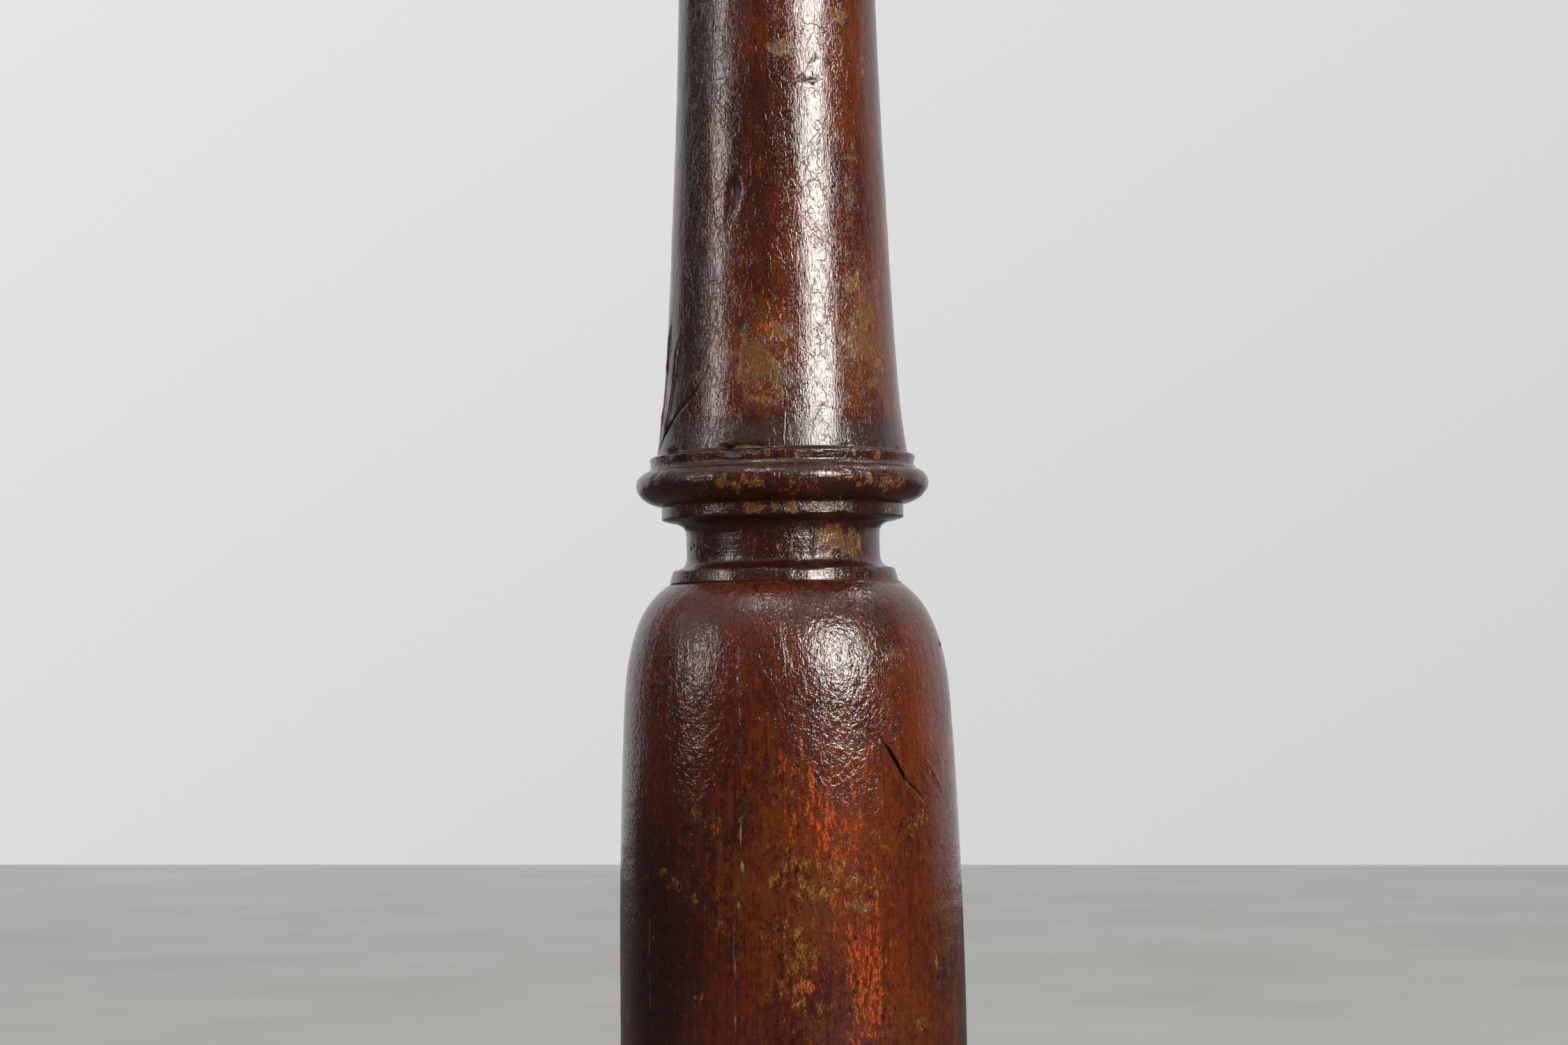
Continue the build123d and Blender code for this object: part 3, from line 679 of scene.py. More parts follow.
def pins(places, radius, low, high):
    """Upright round pins in one mesh, to drill with."""
    shape = bmesh.new()
    for x, y in places:
        spot = Matrix.Translation((x, y, (low + high) / 2))
        bmesh.ops.create_cone(
            shape, cap_ends=True, segments=32, radius1=radius, radius2=radius, depth=high - low, matrix=spot
        )
    return loose(shape, "pins")


def loose(shape, name):
    """An object from a bmesh."""
    mesh = bpy.data.meshes.new(name)
    shape.to_mesh(mesh)
    shape.free()
    piece = bpy.data.objects.new(name, mesh)
    bpy.context.scene.collection.objects.link(piece)
    return piece


def level_radius(outline, level):
    """How far out an outline comes at a level."""
    return max(r for r, z in outline if abs(z - level) < 0.05 * MM)


def turned_ring(node, name, under, over, columns):
    """A turned moulding with its joint faces left bare, ready for daubs: returns the piece."""
    outline = section(node, 90)
    low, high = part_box(node)
    covered_below = level_radius(section(under, 90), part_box(under)[1].z) if under else 0.0
    covered_above = level_radius(section(over, 90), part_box(over)[0].z) if over else 0.0
    bore = outline[:, 0].min()

    def open_face(r, z):
        beyond = r - bore - 3 * MM
        if z < low.z + 0.2 * MM:
            beyond = r - covered_below
        if z > high.z - 0.2 * MM:
            beyond = r - covered_above
        return 0.0 if beyond < -1.2 * MM else 0.03 if beyond < 1.0 * MM else 1.0

    return turning(
        name,
        outline,
        step=lambda r, z: 1.7 * MM if open_face(r, z) else None,
        skin=open_face,
        columns=columns,
    )


NAIL_CIRCLE = 96 * MM
NAIL_HOLE = 2.3 * MM
NAIL_PLACES = [(NAIL_CIRCLE * cos(radians(60 * i)), NAIL_CIRCLE * sin(radians(60 * i))) for i in range(6)]
head_hole, spigot_hole = 6.1 * MM, 11.1 * MM
spigots = [((a.x + b.x) / 2, (a.y + b.y) / 2) for a, b in (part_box(f"foot_{n}") for n in range(1, 5))]
outline = section("plinth_board_middle", 90)
low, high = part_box("plinth_board_middle")
cushion_foot = level_radius(section("base_cushion", 90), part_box("base_cushion")[0].z)
seam, half_gap = high.x, 0.14 * MM


def board_face(r, z):
    """Bare under the cushion and underneath, and lacquered but flat at the cushion's edge."""
    if r < cushion_foot - 1.2 * MM or z < low.z + 0.2 * MM:
        return 0.0
    return 0.03 if r < cushion_foot + 1 * MM else 1.0


boards = (("left", -1.0, -seam), ("middle", -seam, seam), ("right", seam, 1.0))
for number, (place, left, right) in enumerate(boards):
    board = turning(
        f"edge_glued_plinth_{place}",
        outline,
        step=lambda r, z: None if r < cushion_foot - 3 * MM or z < low.z + 0.2 * MM else 1.9 * MM,
        skin=board_face,
        columns=420,
    )
    daub(board, "worn", *scattered(31, 40, (36, 66), (5, 26), (1.5, 5), (0.25, 0.8)))
    daub(board, "ember", *scattered(32, 16, (40, 66), (6, 26), (2, 7), (0.25, 0.7)))
    band(board, "rings", 44, 66, 0.5)
    wear = {"grain_run": BOARD_GRAIN, "waviness": 0.35 * MM, "edge_wear": 1.5 * MM}
    wooden(board, f"plinth_board_{place}", 31 + number, BOARD, **wear)
    drilled(board, block((left + half_gap, -1, -1), (right - half_gap, 1, 1)), keep=True)
    drilled(
        board,
        pins(spigots, spigot_hole, low.z - 5 * MM, low.z + 21 * MM),
        pins(NAIL_PLACES, head_hole, low.z - 5 * MM, low.z + 2.5 * MM),
        pins(NAIL_PLACES, NAIL_HOLE, low.z + 1 * MM, high.z + 5 * MM),
    )


# Six hand-forged clout nails, driven up through the plinth into the cushion, heads flush underneath.
def forged_nail(radius, thick, long):
    """A nail pointing up from its head: seven hammer blows round the head, and a tapered square shank."""
    shape = bmesh.new()
    spun = np.linspace(0, 2 * pi, 29)[:-1]
    blows = 1 - 0.06 * np.abs(np.sin(3.5 * spun)) - 0.04 * np.abs(np.sin(2.5 * spun + 1))
    square = 1 / np.maximum(np.abs(np.cos(spun)), np.abs(np.sin(spun)))
    head = [(0.25, 0.0), (0.72, 0.0), (0.93, 0.16), (0.99, 0.5), (0.95, 0.85), (0.8, 1.0)]
    shank = [(0.31, thick), (0.26, thick + 1.5 * MM), (0.24, 0.5 * long), (0.15, 0.88 * long)]
    shank.append((0.05, long - 0.2 * MM))
    rows = [(share, level * thick, blows) for share, level in head]
    rows += [(share, level, np.minimum(square, 1.18)) for share, level in shank]
    rings = []
    for share, level, outline in rows:
        out = radius * share * outline
        rings.append([shape.verts.new((r * cos(a), r * sin(a), level)) for r, a in zip(out, spun)])
    for below, above in zip(rings[:-1], rings[1:]):
        for k in range(len(spun)):
            n = (k + 1) % len(spun)
            shape.faces.new((below[k], below[n], above[n], above[k]))
    shape.faces.new(rings[0][::-1])
    shape.faces.new(rings[-1])
    nail = loose(shape, "nail")
    nail.data.polygons.foreach_set("use_smooth", [len(f.vertices) == 4 for f in nail.data.polygons])
    return nail


def nail_ring():
    """The node tree that sets one nail at even steps round a circle, each turned its own way."""
    sockets = [
        ("Geometry", "NodeSocketGeometry"),
        ("Nail", "NodeSocketObject"),
        ("Count", "NodeSocketInt"),
        ("Circle radius", "NodeSocketFloat"),
        ("Level", "NodeSocketFloat"),
        ("Seed", "NodeSocketInt"),
        ("Material", "NodeSocketMaterial"),
    ]
    tree, given = tree_with_inputs("ring of nails", sockets)
    inputs = {"Vertices": given["Count"], "Radius": given["Circle radius"]}
    circle = put(tree, "GeometryNodeMeshCircle", inputs)
    level = put(tree, "ShaderNodeCombineXYZ", {2: given["Level"]}).outputs[0]
    raised = put(tree, "GeometryNodeSetPosition", {"Geometry": circle.outputs[0], "Offset": level})
    nail = put(tree, "GeometryNodeObjectInfo", {0: given["Nail"]}).outputs["Geometry"]
    inputs = {0: (0.0, 0.0, 0.0), 1: (0.0, 0.0, 2 * pi), "Seed": given["Seed"]}
    turn = put(tree, "FunctionNodeRandomValue", inputs, data_type="FLOAT_VECTOR")
    inputs = {"Points": raised.outputs[0], "Instance": nail, "Rotation": turn.outputs[0]}
    nails = put(tree, "GeometryNodeInstanceOnPoints", inputs)
    end_with_material(tree, nails.outputs[0], given["Material"])
    return tree


def metal(name, bright, dull, crust, shine, spun):
    """A worked metal: bright where it is rubbed, dull elsewhere, with a crust of tarnish or rust."""
    material = bpy.data.materials.new(name)
    material.use_nodes = True
    tree = material.node_tree
    shader = tree.nodes["Principled BSDF"]
    where = put(tree, "ShaderNodeTexCoord").outputs["Object"]

    def noise(size, detail, at=where):
        inputs = {"Vector": at, "Scale": 1 / (size * MM), "Detail": detail, "Roughness": 0.65}
        return put(tree, "ShaderNodeTexNoise", inputs).outputs["Fac"]

    def ease(value, low, high, to_low=0.0, to_high=1.0):
        inputs = {"Value": value, "From Min": low, "From Max": high, "To Min": to_low, "To Max": to_high}
        return put(tree, "ShaderNodeMapRange", inputs).outputs[0]

    flat = put(tree, "ShaderNodeVectorMath", {0: where, 1: (1, 1, 0)}, operation="MULTIPLY").outputs[0]
    out = put(tree, "ShaderNodeVectorMath", {0: flat}, operation="LENGTH").outputs["Value"]
    ring = put(tree, "ShaderNodeCombineXYZ", {0: out}).outputs[0]
    lines = noise(0.9, 3, ring)
    cloud, grit = noise(16, 6), noise(1.3, 4)
    crusted = ease(maths(tree, cloud, grit), 1.02, 1.16)
    rubbed = mixed(tree, ease(cloud, 0.35, 0.62), bright, dull)
    colour = mixed(tree, crusted, rubbed, crust)
    inputs = {0: lines if spun else grit, 1: 1.0, 2: crusted}
    relief = put(tree, "ShaderNodeMath", inputs, operation="MULTIPLY_ADD")
    inputs = {"Strength": 0.8, "Distance": 0.09 * MM, "Height": relief.outputs[0]}
    bump = put(tree, "ShaderNodeBump", inputs)
    tree.links.new(colour, shader.inputs["Base Color"])
    tree.links.new(ease(crusted, 0, 1, 1.0, 0.25), shader.inputs["Metallic"])
    tree.links.new(ease(cloud, 0.3, 0.7, shine, shine + 0.22), shader.inputs["Roughness"])
    tree.links.new(bump.outputs[0], shader.inputs["Normal"])
    return material


# Hand-forged iron, blackened by the fire and rusty in places.
IRON = metal("blackened wrought iron", "#5a5550", "#2c2826", "#4a2412", 0.38, spun=False)
ring_of_nails = nail_ring()
low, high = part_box("plinth_nails")
nail = forged_nail(6 * MM, 2.4 * MM, high.z - low.z)
nails = loose(bmesh.new(), "forged_clout_nails")
ring = {"nail": nail, "count": len(NAIL_PLACES), "circle_radius": NAIL_CIRCLE, "level": low.z, "seed": 3}
finished(nails, ring_of_nails, material=IRON, **ring)
placed(nails, "plinth_nails")
bpy.data.objects.remove(nail)

# ---- base ----------------------------------------------------------------------------------------
# Three mouldings threaded on the stem's tenon: a cushion with a full round edge, an ogee dome and a
# collar. Each was turned on its own, glued to the next, then painted and lacquered with it.
cushion = turned_ring("base_cushion", "rounded_base_cushion", "plinth_board_middle", "base_dome", 380)
daub(cushion, "worn", *scattered(41, 28, (70, 94), (6, 22), (1.5, 5), (0.25, 0.8)))
daub(cushion, "ember", *scattered(42, 14, (70, 92), (8, 26), (2, 6), (0.25, 0.7)))
band(cushion, "rings", 66, 94, 0.5)
wooden(cushion, "base_cushion", 41, BOARD, grain_run=BOARD_GRAIN, waviness=0.35 * MM, edge_wear=1.2 * MM)
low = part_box("base_cushion")[0].z
drilled(cushion, pins(NAIL_PLACES, NAIL_HOLE, low - 5 * MM, low + 18.1 * MM))

dome = turned_ring("base_dome", "ogee_base_dome", "base_cushion", "base_collar", 320)
daub(dome, "worn", *scattered(43, 20, (96, 140), (6, 16), (2, 6), (0.25, 0.7)))
daub(dome, "ember", *scattered(44, 12, (96, 140), (5, 18), (4, 10), (0.25, 0.6)))
daub(dome, "soot", *scattered(45, 12, (96, 142), (10, 40), (4, 12), (0.3, 0.7)))
band(dome, "rings", 92, 144, 0.5)
wooden(dome, "base_dome", 43, BOARD, grain_run=BOARD_GRAIN, waviness=0.3 * MM)

collar = turned_ring("base_collar", "base_collar_ring", "base_dome", "baluster", 260)
daub(collar, "worn", *scattered(46, 18, (148, 164), (5, 16), (2, 5), (0.5, 1.1)))
# Painted shade: the collar's top, where the baluster stands on it, gets the grey veil.
band(collar, "soot", 163, 175, 0.6)
band(collar, "rings", 144, 174, 0.5)
wooden(collar, "base_collar", 46, waviness=0.25 * MM, wrinkle=0.02 * MM)

# ---- stem ----------------------------------------------------------------------------------------
# The belly-shaped baluster is one turning with a long tenon down through the whole base. It has
# dried and checked, been filled and painted again, and its lacquer is rubbed through in front.
stem_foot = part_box("base_collar")[1].z
neck_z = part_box("baluster")[1].z
# Nearer the axis than this are only tenons and the mortise, never the outside.
mortise_wall, covered = 24 * MM, 30 * MM
# The stem has warped a little to one side and back.
BOW = (
    (174, 0), (270, 0.3), (440, -0.2), (488, -0.9), (515, -1.1), (600, -0.4), (700, 0.1), (780, 0.3),
    (1029, 0),
)
baluster = turning(
    "belly_baluster",
    section("baluster", 90, core=2 * MM),
    step=lambda r, z: 1.8 * MM if z >= stem_foot - 1e-5 and r > mortise_wall else None,
    skin=lambda r, z: float(stem_foot + 0.3 * MM < z < neck_z - 0.3 * MM and r > covered),
    columns=380,
    bow=BOW,
    checks=[
        dict(
            width=1.2, depth=0.45, lip=0.0, patchy=0.8,
            path=[
                (-17.5, 466), (-16.5, 440), (-15.7, 400), (-15.7, 352), (-17.9, 334), (-18.5, 308),
                (-18.6, 240),
            ],
        ),
        dict(
            width=0.8, depth=0.3, lip=0.1, patchy=0.7, pale=0.9,
            path=[(-53, 352), (-53.6, 306), (-53.1, 262), (-54, 235)],
        ),
        dict(
            width=0.7, depth=0.35, lip=0.1, patchy=0.4, pale=0.7,
            path=[(-2.2, 474), (-1.0, 462), (-0.3, 446), (-0.2, 437)],
        ),
        dict(
            width=1.5, depth=1.2, lip=0.12, patchy=0.1,
            path=[(31.5, 414), (35.5, 405), (39.0, 399), (42, 391.5), (46.5, 387), (53, 379)],
        ),
        dict(
            width=2.1, depth=2.0, lip=0.15, patchy=0.1,
            path=[(34.2, 409), (37.4, 402), (39.4, 397.5), (43, 390.5)],
        ),
        dict(
            width=0.8, depth=0.8, lip=0.15, patchy=0.5,
            path=[(48, 404), (53.3, 398.6), (59.3, 389.8), (63, 384)],
        ),
        dict(
            width=1.6, depth=1.4, lip=0.1, patchy=0.4,
            path=[(140, 440), (138, 380), (141, 300), (139, 225)],
        ),
        dict(width=0.9, depth=0.8, lip=0.1, patchy=0.6, path=[(-120, 380), (-118, 330), (-119, 290)]),
    ],
    # Each pit's last number darkens it inside: dirt and painted shadow.
    pits=[
        (0.3, 403, 1.1, 2.2, 0.5, 0.5), (80, 456, 1.4, 1.6, -0.9, 0.2), (-15.7, 352, 1.0, 3.0, -0.5, 0.0),
        (128, 402, 2.2, 5.0, 0.9, 0.7), (-150, 300, 1.6, 3.4, 0.7, 0.7), (-16.2, 373, 0.9, 2.4, -0.4, 0.0),
    ],
)
# The darker patches down the left side, at about -60 to -40 degrees, are painted shade.
daub(
    baluster, "warm", (5, 350, 55, 60, 0.45), (22, 380, 30, 45, 0.4), (35, 300, 50, 60, 0.3),
    (52, 420, 34, 50, 0.5), (-58, 310, 40, 120, -0.7), (-38, 300, 34, 80, -0.35),
    (-45, 420, 26, 34, -0.2), (60, 340, 22, 60, 0.2), (20, 440, 34, 22, -0.1),
    *scattered(51, 12, (190, 470), (20, 50), (30, 70), (-0.8, 0.6), (80, 290)),
)
daub(
    baluster, "worn", (6, 350, 30, 16, 0.4), (24, 340, 24, 14, 0.35), (38, 362, 20, 10, 0.35),
    (47, 372, 15, 5, 0.5), (-5, 345, 3.5, 6, 0.6), (22, 332, 9, 4, 0.55), (2, 322, 22, 30, 0.35),
    (3, 290, 16, 30, 0.35), (-46, 349, 7, 3, 0.7), (-40, 343, 7, 4, 0.6), (-34, 337, 9, 4, 0.6),
    (-23.5, 324, 8, 5, 0.45), (-31, 291, 6, 3, 0.75), (45, 275, 6, 4, 0.95), (54, 300, 3, 14, 0.6),
    (-18.2, 318, 3.5, 4, 0.6), (30, 385, 10, 12, 0.35), (-34, 377, 9, 12, 0.35), (-25, 372, 8, 8, 0.35),
    (-2, 392, 14, 14, 0.35), (10, 476, 30, 4, 0.3), (-40, 468, 16, 4, 0.45), (40, 452, 10, 6, 0.35),
    (20, 258, 24, 12, 0.4),
    *scattered(52, 24, (185, 480), (4, 20), (3, 16), (0.25, 0.75), (70, 290)),
)
daub(
    baluster, "ember", (16, 325, 36, 84, 0.42), (26, 302, 13, 42, 0.3), (21, 268, 10, 26, 0.2),
    (14, 382, 16, 36, 0.3), (25, 396, 9, 28, 0.35), (2, 400, 10, 36, 0.3), (32, 372, 5, 18, 0.3),
    (-4, 380, 8, 40, 0.25), (36, 420, 8, 14, 0.3), (5, 296, 9, 3.4, 0.9), (-15, 395, 5, 26, 0.3),
    (12, 422, 7, 20, 0.3), (48, 250, 12, 20, 0.35),
    *scattered(53, 20, (190, 460), (5, 16), (10, 34), (0.3, 0.9), (70, 290)),
)
# The grey strips down the left side are painted sheen.
daub(
    baluster, "soot", (-64, 300, 16, 120, 0.25), (-70, 410, 20, 80, 0.4), (-30, 470, 40, 10, 0.35),
    (62, 470, 30, 12, 0.35), (9, 333, 14, 5, 0.45), (33, 365, 6, 5, 0.4), (12, 355, 12, 5, 0.3),
    *scattered(54, 10, (190, 470), (10, 40), (20, 70), (0.2, 0.6), (80, 280)),
)
daub(
    baluster, "chalk", (-15.7, 352, 1.3, 3, 1.2), (-16.2, 368, 0.8, 8, 0.7), (-17.0, 334, 1.2, 3, 0.7),
    (-18.4, 305, 0.9, 10, 0.6), (-18.6, 280, 0.9, 8, 0.6), (0.3, 403, 0.9, 2, 0.9),
    (2.5, 378, 0.8, 2.5, 0.6),
)
band(baluster, "peel", 385, 490, 1.0, soft=30)
band(baluster, "peel", 170, 400, 0.35, soft=30)
daub(baluster, "peel", (16, 440, 34, 44, 0.5))
band(baluster, "calm", 165, 412, 1.0, soft=36)
band(baluster, "rings", 474, 490, 0.5)
wooden(baluster, "baluster", 11)
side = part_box("tenon_wedge")
tenon_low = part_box("baluster")[0].z
drilled(baluster, block((-0.1, side[0].y, tenon_low - 1 * MM), (0.1, side[1].y, tenon_low + 34 * MM)))

# The oak wedge that was driven into the tenon's kerf from below, riven and never finished.
wedge = loose(bmesh.new(), "riven_oak_wedge")
shape = bmesh.new()
shape.from_mesh(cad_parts["tenon_wedge"].data)
bmesh.ops.remove_doubles(shape, verts=shape.verts, dist=2e-6)
bmesh.ops.dissolve_limit(shape, angle_limit=0.02, verts=shape.verts, edges=shape.edges)
bmesh.ops.bevel(shape, geom=shape.edges[:], offset=0.25 * MM, segments=2, affect="EDGES")
bmesh.ops.triangulate(shape, faces=shape.faces)
shape.to_mesh(wedge.data)
shape.free()
OAK = bpy.data.materials.new("riven oak")
OAK.use_nodes = True
oak = OAK.node_tree
grain_at = put(oak, "ShaderNodeTexCoord").outputs["Object"]
grain_at = put(oak, "ShaderNodeMapping", {"Vector": grain_at, "Scale": (1, 1, 0.06)}).outputs[0]
inputs = {"Vector": grain_at, "Scale": 1 / (1.1 * MM), "Detail": 4.0}
grain = put(oak, "ShaderNodeTexNoise", inputs).outputs["Fac"]
tint = mixed(oak, grain, "#4a3220", "#a58457")
bump = put(oak, "ShaderNodeBump", {"Strength": 0.8, "Distance": 0.15 * MM, "Height": grain}).outputs[0]
oak.links.new(tint, oak.nodes["Principled BSDF"].inputs["Base Color"])
oak.links.new(bump, oak.nodes["Principled BSDF"].inputs["Normal"])
oak.nodes["Principled BSDF"].inputs["Roughness"].default_value = 0.8
wedge.data.materials.append(OAK)
placed(wedge, "tenon_wedge")

# The column, its torus, fillets and neck are one turning. Its foot has split and lost a sliver, and
# the upper fillet is chipped.
column_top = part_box("top_collar")[0].z
fillets_end, plain_from = 0.56, 0.8


def column_step(r, z):
    """Close rows over the neck, torus and fillets, and wide ones up the plain shaft."""
    if not neck_z - 1e-5 <= z <= column_top + 1e-5 or r <= covered:
        return None
    return 1.0 * MM if z < fillets_end else 2.1 * MM if z < plain_from else 3.2 * MM


column = turning(
    "tapered_column",
    section("column", 90),
    step=column_step,
    skin=lambda r, z: float(neck_z + 0.3 * MM < z < column_top - 0.3 * MM and r > covered),
    columns=250,
    bow=BOW,
    checks=[
        dict(
            width=2.1, depth=2.4, lip=0.15,
            path=[(-43, 583), (-50, 577), (-58, 571), (-68, 563), (-82, 553)],
        ),
        dict(width=1.6, depth=1.3, lip=0.7, patchy=0.4, path=[(-62, 612), (-66, 585), (-73, 558)]),
        dict(width=1.8, depth=1.6, lip=0.7, patchy=0.4, path=[(-75, 622), (-78, 590), (-84, 556)]),
        dict(width=0.6, depth=0.6, lip=0.1, path=[(2.1, 569), (1.9, 552), (1.8, 545)]),
        dict(width=1.1, depth=0.7, lip=0.25, patchy=0.3, path=[(9, 731.5), (17, 732.5), (26, 732)]),
        dict(width=1.0, depth=0.6, lip=0.25, patchy=0.3, path=[(17, 740), (22, 742.5), (28.4, 741.2)]),
        dict(width=0.7, depth=0.6, lip=0.25, patchy=0.2, path=[(17.5, 497), (17.2, 506), (18.4, 515)]),
        dict(width=1.2, depth=1.2, lip=0.1, patchy=0.4, path=[(160, 700), (158, 640), (161, 590)]),
    ],
    # Each pit's last number darkens it inside: dirt and painted shadow.
    pits=[
        (-24, 677, 3.2, 7.5, 2.0, 0.9), (-25.5, 668, 3.4, 3.4, 0.5, 0.0), (-20, 611, 2.8, 2.6, 1.2, 1.3),
        (-17, 609, 1.4, 1.4, 0.5, 0.6), (-70, 505, 0.7, 0.8, 0.9, 1.0), (-65, 505.5, 0.7, 0.7, 0.9, 1.0),
        (-22, 550.6, 6.5, 3.2, 3.0, 0.8), (-12, 551.0, 5.0, 2.8, 2.6, 0.8), (-6, 549, 1.4, 3.4, 0.5, 0.1),
        (30, 551.8, 1.2, 2.4, 1.2, 0.4), (-58, 551, 6.0, 3.0, 1.6, 0.3), (64, 551, 3.0, 2.0, 0.7, 0.3),
        (120, 551, 6.0, 2.2, 1.0, 0.3), (-140, 525, 4.0, 2.0, 0.7, 0.3), (95, 495, 3.0, 1.6, 0.6, 0.3),
    ],
)
# The dark strips down the left side, at about -60 to -35 degrees, are painted shade.
daub(
    column, "warm", (10, 640, 60, 60, 0.25), (-12, 596, 26, 26, 0.5), (47, 604, 22, 40, 0.5),
    (20, 760, 50, 40, 0.15), (-60, 680, 22, 160, -0.7), (-35, 700, 14, 90, -0.2), (60, 740, 24, 80, 0.2),
    (50, 506, 40, 12, 0.4),
    *scattered(61, 16, (570, 1020), (16, 40), (30, 80), (-0.7, 0.7), (80, 290)),
    *scattered(62, 8, (830, 1020), (16, 40), (30, 80), (-0.5, 0.7)),
)
daub(
    column, "worn", (1, 747, 8, 4.5, 1.0), (36, 765, 8, 5, 0.9), (40, 695, 9, 1.3, 1.0),
    (-11, 706, 6, 1.0, 0.8), (-14, 600, 10, 8, 0.6), (-8, 592, 12, 8, 0.55), (-18, 585, 8, 6, 0.45),
    (0, 608, 8, 6, 0.5), (2, 585, 12, 6, 0.4), (-6, 575, 16, 4, 0.5), (47, 620, 9, 8, 0.6),
    (42, 605, 10, 10, 0.5), (54, 596, 8, 8, 0.5), (50, 584, 4, 3, 1.1), (38, 632, 6, 6, 0.5),
    (60, 640, 6, 12, 0.4), (47, 615, 20, 45, 0.3), (-12, 594, 20, 24, 0.3), (20, 571, 5, 2, 1.0),
    (-44, 588, 4, 5, 0.5), (28, 655, 5, 5, 0.35), (-6, 549, 2, 3, 1.2), (44, 548, 4, 3, 0.9),
    (62, 548, 4, 3, 0.9), (-36, 548, 8, 3, 0.5), (8, 548, 6, 3, 0.4), (-23, 535, 5, 5, 0.8),
    (-18, 532, 4, 4, 0.7), (-10, 534, 6, 4, 0.7), (6, 533, 8, 4, 0.4), (34, 535, 7, 5, 0.55),
    (44, 534, 8, 5, 0.65), (52, 536, 5, 5, 0.5), (-14, 523, 7, 4, 1.0), (-3, 523, 4, 3, 0.8),
    (4, 523, 4, 4, 0.9), (16, 523, 8, 4, 0.7), (28, 523, 8, 4, 0.6), (58, 523, 5, 4, 0.6),
    (26, 509, 9, 7, 0.7), (36, 507, 11, 10, 0.65), (48, 505, 10, 9, 0.6), (9, 514, 4, 3, 0.6),
    (2, 504, 6, 5, 0.4), (22, 500, 8, 4, 0.6), (-35, 496, 10, 3, 0.35),
    *scattered(63, 40, (492, 1020), (3, 14), (2, 12), (0.3, 0.8), (75, 285)),
    *scattered(64, 24, (800, 1020), (3, 12), (3, 12), (0.3, 0.8)),
    *scattered(65, 16, (640, 800), (3, 9), (2, 9), (0.2, 0.5), (-60, 75)),
)
daub(
    column, "ember", (47, 610, 18, 40, 0.3), (-10, 598, 18, 24, 0.35), (3, 620, 4, 4, 0.6),
    (-4, 610, 6, 5, 0.6), (32, 535, 14, 5, 0.55), (-14, 536, 12, 4, 0.5), (50, 534, 10, 6, 0.6),
    (10, 533, 14, 4, 0.3), (36, 668, 8, 14, 0.25), (26, 615, 5, 7, 0.4), (5, 530, 40, 4, 0.2),
    *scattered(66, 26, (492, 1020), (4, 14), (6, 24), (0.3, 0.8), (75, 285)),
    *scattered(67, 12, (800, 1020), (4, 12), (6, 24), (0.3, 0.8)),
)
# The grey down the left side is painted sheen.
daub(
    column, "soot", (-62, 690, 22, 170, 0.75), (-38, 620, 16, 60, 0.35), (-30, 760, 20, 60, 0.45),
    (70, 640, 12, 120, 0.2), (-40, 505, 34, 12, 0.45), (-55, 536, 24, 12, 0.5), (-64, 580, 26, 28, 0.5),
    *scattered(68, 12, (560, 1020), (12, 40), (20, 80), (0.2, 0.7), (80, 280)),
)
daub(
    column, "peel", (12, 504, 13, 10, 1.0), (12, 491, 30, 4, 0.9), (-30, 500, 10, 8, 0.5),
    (16, 548, 14, 4, 0.9),
)
daub(
    column, "chalk", (-15, 552, 12, 0.9, 1.0), (-24, 677, 1.4, 2, 0.25), (-72, 588, 5, 24, 0.8),
    (-80, 600, 3, 30, 0.6), (32, 549, 0.8, 3, 0.8),
)
# Painted shade: grey rings in the grooves and corners round the fillets.
band(column, "soot", 551, 566, 0.7, soft=6)
band(column, "soot", 516, 521, 0.5)
band(column, "soot", 542, 546, 0.4)
band(column, "rings", 488, 568, 0.55, soft=4)
# The ring zone is made darker, partly for its own dark colour and partly as painted shade under the torus;
# the front left of the shaft is made darker too.
band(column, "warm", 486, 566, -0.65, soft=8)
daub(column, "warm", (-12, 700, 22, 100, -0.4), (-20, 640, 18, 40, -0.2))
wooden(column, "column", 12, edge_wear=1.4 * MM)

# ---- top -----------------------------------------------------------------------------------------
# A collar ring on the column's upper tenon, a cup glued over it, and a shallow dish with a raised
# rim that catches the wax. All three are turned wood, painted and lacquered like the stem.
collar = turned_ring("top_collar", "top_collar_ring", "column", "capital_cup", 260)
daub(collar, "worn", *scattered(71, 18, (1036, 1052), (5, 14), (2, 5), (0.5, 1.1)))
daub(collar, "ember", *scattered(72, 10, (1034, 1056), (6, 18), (3, 7), (0.4, 0.9)))
band(collar, "rings", 1028, 1062, 0.5)
wooden(collar, "top_collar", 71, waviness=0.25 * MM, wrinkle=0.02 * MM)

cup = turned_ring("capital_cup", "rounded_capital_cup", "top_collar", "drip_dish", 300)
daub(cup, "worn", *scattered(73, 26, (1068, 1132), (5, 16), (3, 9), (0.4, 1.0)))
daub(cup, "ember", *scattered(74, 20, (1068, 1132), (5, 14), (5, 16), (0.4, 0.9)))
daub(cup, "soot", *scattered(75, 10, (1064, 1128), (10, 30), (5, 14), (0.3, 0.7)))
band(cup, "rings", 1060, 1136, 0.35)
wooden(cup, "capital_cup", 73)

dish = turned_ring("drip_dish", "turned_drip_dish", "capital_cup", None, 360)
pan_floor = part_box("wax_pan")[0].z
